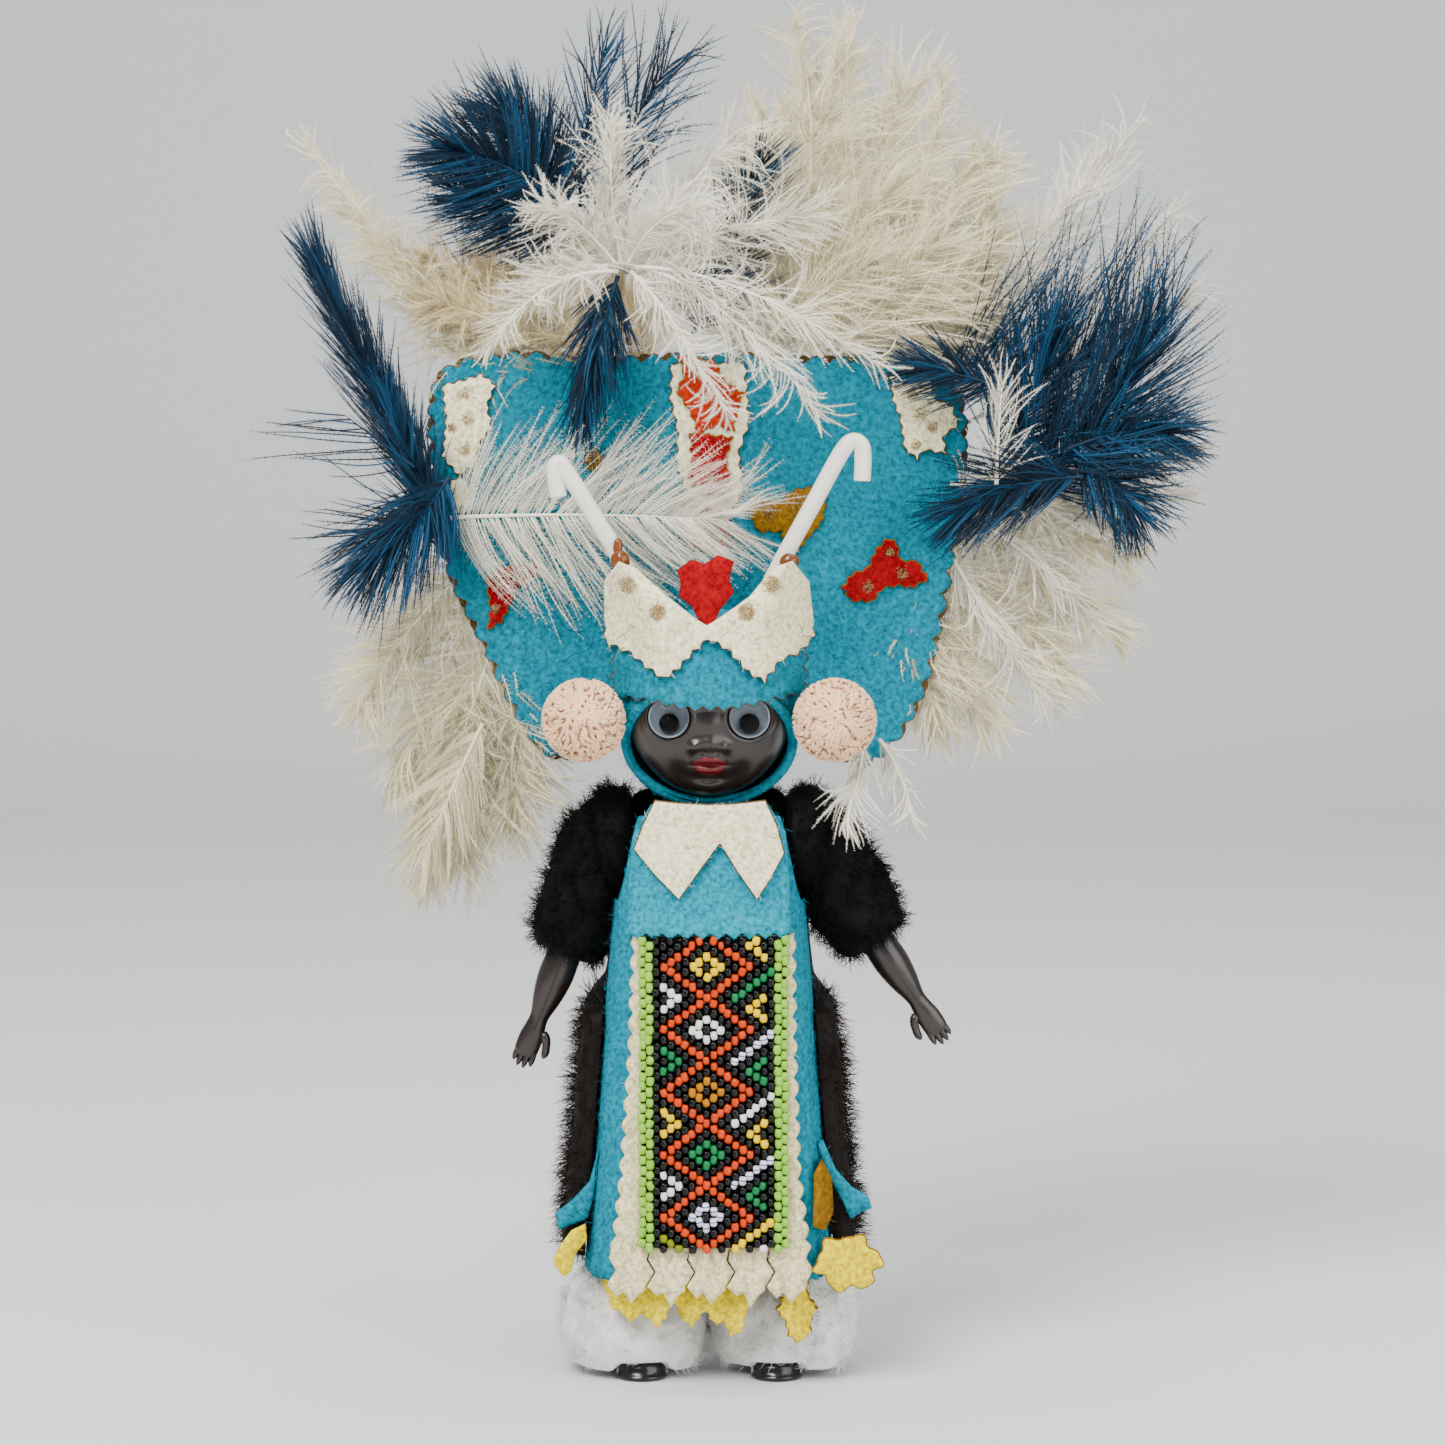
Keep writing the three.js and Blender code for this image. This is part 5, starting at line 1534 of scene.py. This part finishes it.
# Plumes of one kind that stand together: name of the group, colour, kind, CAD node and each plume's
# root, bend, tip and longest barb.
GROUPS = [
    ("cream_plume_top", "cream", "fluffy", "cream_plume_top", [
        ((16, 21, 230), (18, 23, 268), (31, 23, 304), 26), ((26, 23, 230), (34, 25, 268), (46, 25, 298), 28),
        ((34, 21, 228), (48, 23, 262), (62, 23, 280), 26), ((8, 24, 232), (10, 26, 262), (14, 26, 290), 24),
        ((44, 25, 226), (56, 27, 246), (66, 27, 262), 24), ((20, 18, 234), (28, 17, 256), (42, 16, 274), 26),
        ((30, 15, 236), (40, 13, 250), (54, 13, 262), 25), ((8, 22, 236), (16, 20, 254), (30, 18, 266), 22),
        ((14, 16, 240), (22, 12, 250), (36, 11, 256), 20), ((40, 17, 234), (50, 16, 244), (60, 16, 248), 20),
    ]),
    ("cream_plume_top_tips", "cream", "wispy", "", [
        ((28, 22, 250), (33, 22, 280), (32, 22, 312), 16), ((22, 22, 262), (26, 22, 292), (20, 22, 312), 18),
        ((40, 22, 256), (54, 22, 276), (54, 22, 300), 14), ((60, 22, 250), (66, 22, 264), (66, 22, 284), 14),
    ]),
    ("white_plume_upper_right", "white", "wispy", "cream_plume_upper_right", [
        ((56, 22, 226), (78, 24, 256), (98, 24, 288), 20),
        ((58, 24, 224), (84, 26, 244), (108, 26, 268), 20),
        ((60, 20, 220), (88, 22, 234), (112, 22, 250), 18),
        ((60, 22, 234), (76, 24, 262), (90, 24, 280), 18),
        ((62, 20, 208), (92, 22, 208), (114, 22, 214), 14),
        ((62, 18, 204), (90, 20, 200), (112, 20, 204), 14),
    ]),
    ("cream_plume_top_left", "cream", "wispy", "", [
        ((-40, 20, 230), (-66, 23, 250), (-94, 22, 284), 18),
        ((-44, 22, 228), (-62, 25, 244), (-86, 24, 270), 18),
        ((-46, 20, 226), (-64, 22, 240), (-78, 22, 262), 20),
    ]),
    ("straw_plume_top_left", "straw", "fluffy", "", [
        ((-36, 21, 230), (-46, 24, 248), (-66, 23, 258), 20),
        ((-26, 20, 232), (-34, 23, 248), (-52, 22, 254), 20),
        ((-14, 22, 232), (-18, 25, 250), (-30, 24, 262), 20),
        ((-42, 17, 238), (-52, 16, 246), (-64, 16, 248), 15),
    ]),
    ("white_plume_mop", "white", "wispy", "white_plume_mop", [
        ((-21, 9, 256), (-30, 7, 268), (-38, 4, 270), 15), ((-20, 9, 256), (-24, 8, 274), (-22, 4, 288), 17),
        ((-19, 9, 256), (-6, 8, 276), (8, 4, 286), 22), ((-19, 9, 256), (4, 8, 266), (24, 2, 268), 22),
        ((-19, 7, 256), (-14, 0, 268), (-2, -8, 270), 16), ((-21, 8, 256), (-34, 2, 258), (-44, 0, 250), 14),
    ]),
    ("white_plume_droop", "white", "wispy", "white_plume_droop", [
        ((-17, 5, 256), (0, -9, 254), (24, -11, 224), 20),
        ((-17, 4, 256), (6, -12, 256), (38, -13, 234), 16),
        ((-18, 5, 255), (-8, -8, 246), (4, -10, 222), 13),
        ((-21, 5, 255), (-38, -6, 256), (-50, -6, 238), 13),
    ]),
    ("cream_plume_lower_right", "cream", "fluffy", "cream_plume_lower_right", [
        ((54, 20, 202), (78, 22, 198), (98, 21, 188), 18), ((52, 22, 198), (76, 24, 186), (96, 23, 170), 20),
        ((50, 20, 190), (70, 22, 178), (84, 21, 160), 20), ((48, 22, 184), (58, 24, 168), (66, 23, 150), 20),
        ((46, 20, 178), (50, 22, 164), (54, 21, 148), 16),
    ]),
    ("white_plume_lower_right", "white", "wispy", "", [
        ((56, 17, 206), (78, 16, 204), (96, 15, 194), 18), ((58, 16, 200), (76, 15, 190), (90, 14, 174), 16),
        ((56, 18, 190), (66, 17, 172), (80, 16, 154), 16),
    ]),
    ("cream_plume_lower_left", "cream", "fluffy", "cream_plume_lower_left", [
        ((-56, 20, 186), (-72, 22, 174), (-82, 21, 152), 20),
        ((-54, 22, 182), (-64, 24, 160), (-73, 23, 136), 22),
        ((-50, 20, 172), (-56, 22, 150), (-66, 21, 128), 22),
        ((-48, 22, 162), (-52, 24, 140), (-58, 23, 116), 22),
        ((-44, 20, 156), (-44, 22, 142), (-47, 22, 126), 18),
        ((-52, 22, 158), (-62, 24, 136), (-67, 23, 112), 20),
    ]),
]


# Pale plumes that stand alone: name, colour, kind, root, bend, tip, longest barb and what differs.
SINGLE_PLUMES = [
    ("white_plume_across", "white", "comb", (-63, 13, 198), (-30, 8, 200), (4, 3, 198), 30,
     {"barbs": 190, "opening": (76, 32), "fluff": 2.5, "curl": 0.026}),
    ("cream_plume_shaft_in_view", "cream", "comb", (-53, 15, 150), (-60, 14, 136), (-67, 13, 118), 19,
     {"barbs": 70, "opening": (48, 22), "droop": 0.03, "fluff": 2.6}),
    ("white_sprig_right", "white", "comb", (66, 3, 206), (66, 1, 216), (67, 0, 229), 15,
     {"barbs": 17, "opening": (52, 18), "fluff": 2.3, "clump": 1, "curl": 0.05, "depth": 0.2}),
    ("white_plume_under_pompom", "white", "wispy", (35, -9, 149), (35, -17, 142), (31, -20, 131), 13,
     {"barbs": 30, "opening": (44, 20), "fluff": 2.4, "droop": 0.08}),
    ("white_plume_under_pompom_right", "white", "wispy", (39, -5, 148), (44, -14, 142), (46, -18, 132), 12,
     {"barbs": 26, "opening": (40, 20), "fluff": 2.4, "droop": 0.08}),
]


def pale_plumes():
    """The cream and white plumes, most of them behind the board."""
    for group, color, kind, node, members in GROUPS:
        for i, (root, bend, tip, barb) in enumerate(members):
            stands_for = [node] if node and i == 0 else ()
            plume(f"{group}_{i + 1}", color, kind, root, bend, tip, barb, stands_for)
    for name, color, kind, root, bend, tip, barb, changes in SINGLE_PLUMES:
        node = [name] if name in frame["nodes"] else ()
        plume(name, color, kind, root, bend, tip, barb, node, **changes)


# ---------------------------------------------------------------- floor, light and camera




def stage():
    """A pale sheet of paper that curves up behind the doll."""
    width, front, turn, back, rise = 3.0, -2.2, 1.2, 1.6, 2.6
    profile = [(front, 0.0), (turn, 0.0)]
    profile += [(turn + (back - turn) * math.sin(a), (back - turn) * (1 - math.cos(a)))
                for a in np.linspace(0.1, math.pi / 2, 16)]
    profile += [(back, rise)]
    mesh = bpy.data.meshes.new("paper_sweep")
    points = [(x, y, z) for y, z in profile for x in (-width, width)]
    faces = [(2 * i, 2 * i + 1, 2 * i + 3, 2 * i + 2) for i in range(len(profile) - 1)]
    mesh.from_pydata(points, [], faces)
    mesh.polygons.foreach_set("use_smooth", [True] * len(faces))
    mesh.materials.append(material("paper", (0.66, 0.665, 0.665), 0.9))
    sweep = bpy.data.objects.new("paper_sweep", mesh)
    bpy.context.scene.collection.objects.link(sweep)


def light(name, place, target, size, power, color=(1, 1, 1)):
    data = bpy.data.lights.new(name, "AREA")
    data.energy, data.size, data.color = power, size, color
    lamp = bpy.data.objects.new(name, data)
    lamp.location = place
    lamp.rotation_euler = (Vector(target) - Vector(place)).to_track_quat("-Z", "Y").to_euler()
    bpy.context.scene.collection.objects.link(lamp)


def lights():
    centre = (0, 0, 0.16)
    light("key", (-0.55, -0.9, 1.15), centre, 0.7, 36)
    light("fill", (0.9, -0.8, 0.5), centre, 1.0, 13)
    light("top", (0.1, 0.1, 1.5), centre, 1.2, 18)
    world = bpy.data.worlds.new("studio")
    world.use_nodes = True
    world.node_tree.nodes["Background"].inputs["Color"].default_value = (0.93, 0.95, 1.0, 1)
    world.node_tree.nodes["Background"].inputs["Strength"].default_value = 0.42
    bpy.context.scene.world = world


def camera():
    """The doll fills the frame from its feathers to a little below its shoes."""
    framed, distance, elevation = 0.333, 1.05, math.radians(5)
    target = Vector((0.003, 0, 0.1515))
    data = bpy.data.cameras.new("camera")
    data.sensor_width = 36
    data.lens = data.sensor_width * distance / framed
    made = bpy.data.objects.new("camera", data)
    made.location = target + distance * Vector((0, -math.cos(elevation), math.sin(elevation)))
    made.rotation_euler = (target - made.location).to_track_quat("-Z", "Y").to_euler()
    bpy.context.scene.collection.objects.link(made)
    bpy.context.scene.camera = made


# ---------------------------------------------------------------- the doll


def clothes():
    """Everything on the body but the limbs."""
    tunic()
    front_felts()
    side_felts()
    bead_panel()
    coat()
    neck_fur()


def limbs(plastic):
    black = glossy("black_plastic", (0.006, 0.006, 0.007), 0.22, 0.7)
    for word, side in SIDES:
        sleeve(word, side, 41 + side)
        legging(word, side, 51 + side)
        arm(word, side, plastic)
        shoe(word, side, black)


def face(plastic):
    """The head with its painted lips and googly eyes."""
    head(plastic)
    lips(glossy("lip_paint", (0.125, 0.0022, 0.0042), 0.3, 0.6, 600))
    # The eye cup's grey-blue is painted shade: the real cup is pale and only looks grey-blue in the shadow of
    # its dome.
    eyes(glossy("eye_cup_painted_shade", (0.17, 0.205, 0.245), 0.5, 0.9, shine=0.2),
         glossy("pupil", (0.0006, 0.0006, 0.0008), 0.5, shine=0.05),
         material("eye_lens", (1.0, 1.0, 1.0), 0.05, Transmission_Weight=1.0, IOR=1.3, Alpha=0.14))


def over_crown(u, v, height):
    """Places glitter on the crown, over its pockets."""
    return round_head(5.4)(u, v, height + pockets(np.stack([u, v], axis=-1)))


def headwear():
    """The hood, the crown with its glitter, and the horns and pompoms glued to them."""
    hood()
    hood_rim()
    head_felts()
    dots = [(-18.4, 184.4, 1.1), (-11.7, 178.6, 1.0), (8.4, 178.6, 1.1), (14.2, 184.8, 1.15)]
    glitter("crown_glitter", dots, over_crown, "head", count=int(420 * DENSITY), seed=4)
    ivory = glossy("ivory_tube", (0.83, 0.80, 0.70), 0.3, 0.94, 120)
    yarn = tones("peach_yarn", (0.88, 0.56, 0.33), 0.95, (0.86, 0.93, 1.0, 1.05), Sheen_Weight=0.2)
    for word, side in SIDES:
        horn(f"{word}_horn", ivory)
        pompom(f"{word}_pompom", side, yarn, 61 + side)
    amber = glossy("amber_glue", (0.20, 0.055, 0.008), 0.15, 0.5, 500)
    drop("horn_glue_left", (-20.2, -10.5, 189.4), (2.2, 1.8, 2.4), amber)
    drop("horn_glue_left_tip", (-20.8, -9.4, 192.4), (1.1, 1.2, 2.2), amber)
    drop("horn_glue_right", (18.2, -10.6, 189.2), (2.3, 1.7, 1.9), amber)


def headdress():
    """The board with its glue and glitter, and all the plumes."""
    board()
    board_glue(glossy("clear_glue", (0.42, 0.36, 0.25), 0.3, 0.8))
    dots = [(-57, 227, 0.8), (-56, 221, 0.8), (-57, 214, 0.9), (-60, 219, 0.6), (49, 222, 0.9),
            (52, 219, 0.8),
            (47, 227, 0.8), (48, 215, 0.7), (-1, 228, 1.0), (3, 223, 0.9), (0, 212, 0.9), (14, 199, 1.1),
            (21, 200, 1.3), (20, 194, 0.9), (37, 182, 0.8), (45, 185, 0.8), (42, 190, 0.6), (-46, 184, 0.8),
            (-50, 177, 0.6)]
    glitter("board_glitter", dots, facing_front(BOARD_FRONT - 1.25), "head", count=int(120 * DENSITY),
            seed=6)
    blue_plumes()
    pale_plumes()


def doll():
    plastic = brown_plastic()
    clothes()
    limbs(plastic)
    face(plastic)
    headwear()
    headdress()
    stray_threads()
    fuzz_pieces()
    inner_parts(plastic, glossy("elastic", (0.7, 0.68, 0.62), 0.7, 0.8),
                material("steel_wire", (0.45, 0.45, 0.46), 0.35, Metallic=1.0))


doll()
stage()
lights()
camera()
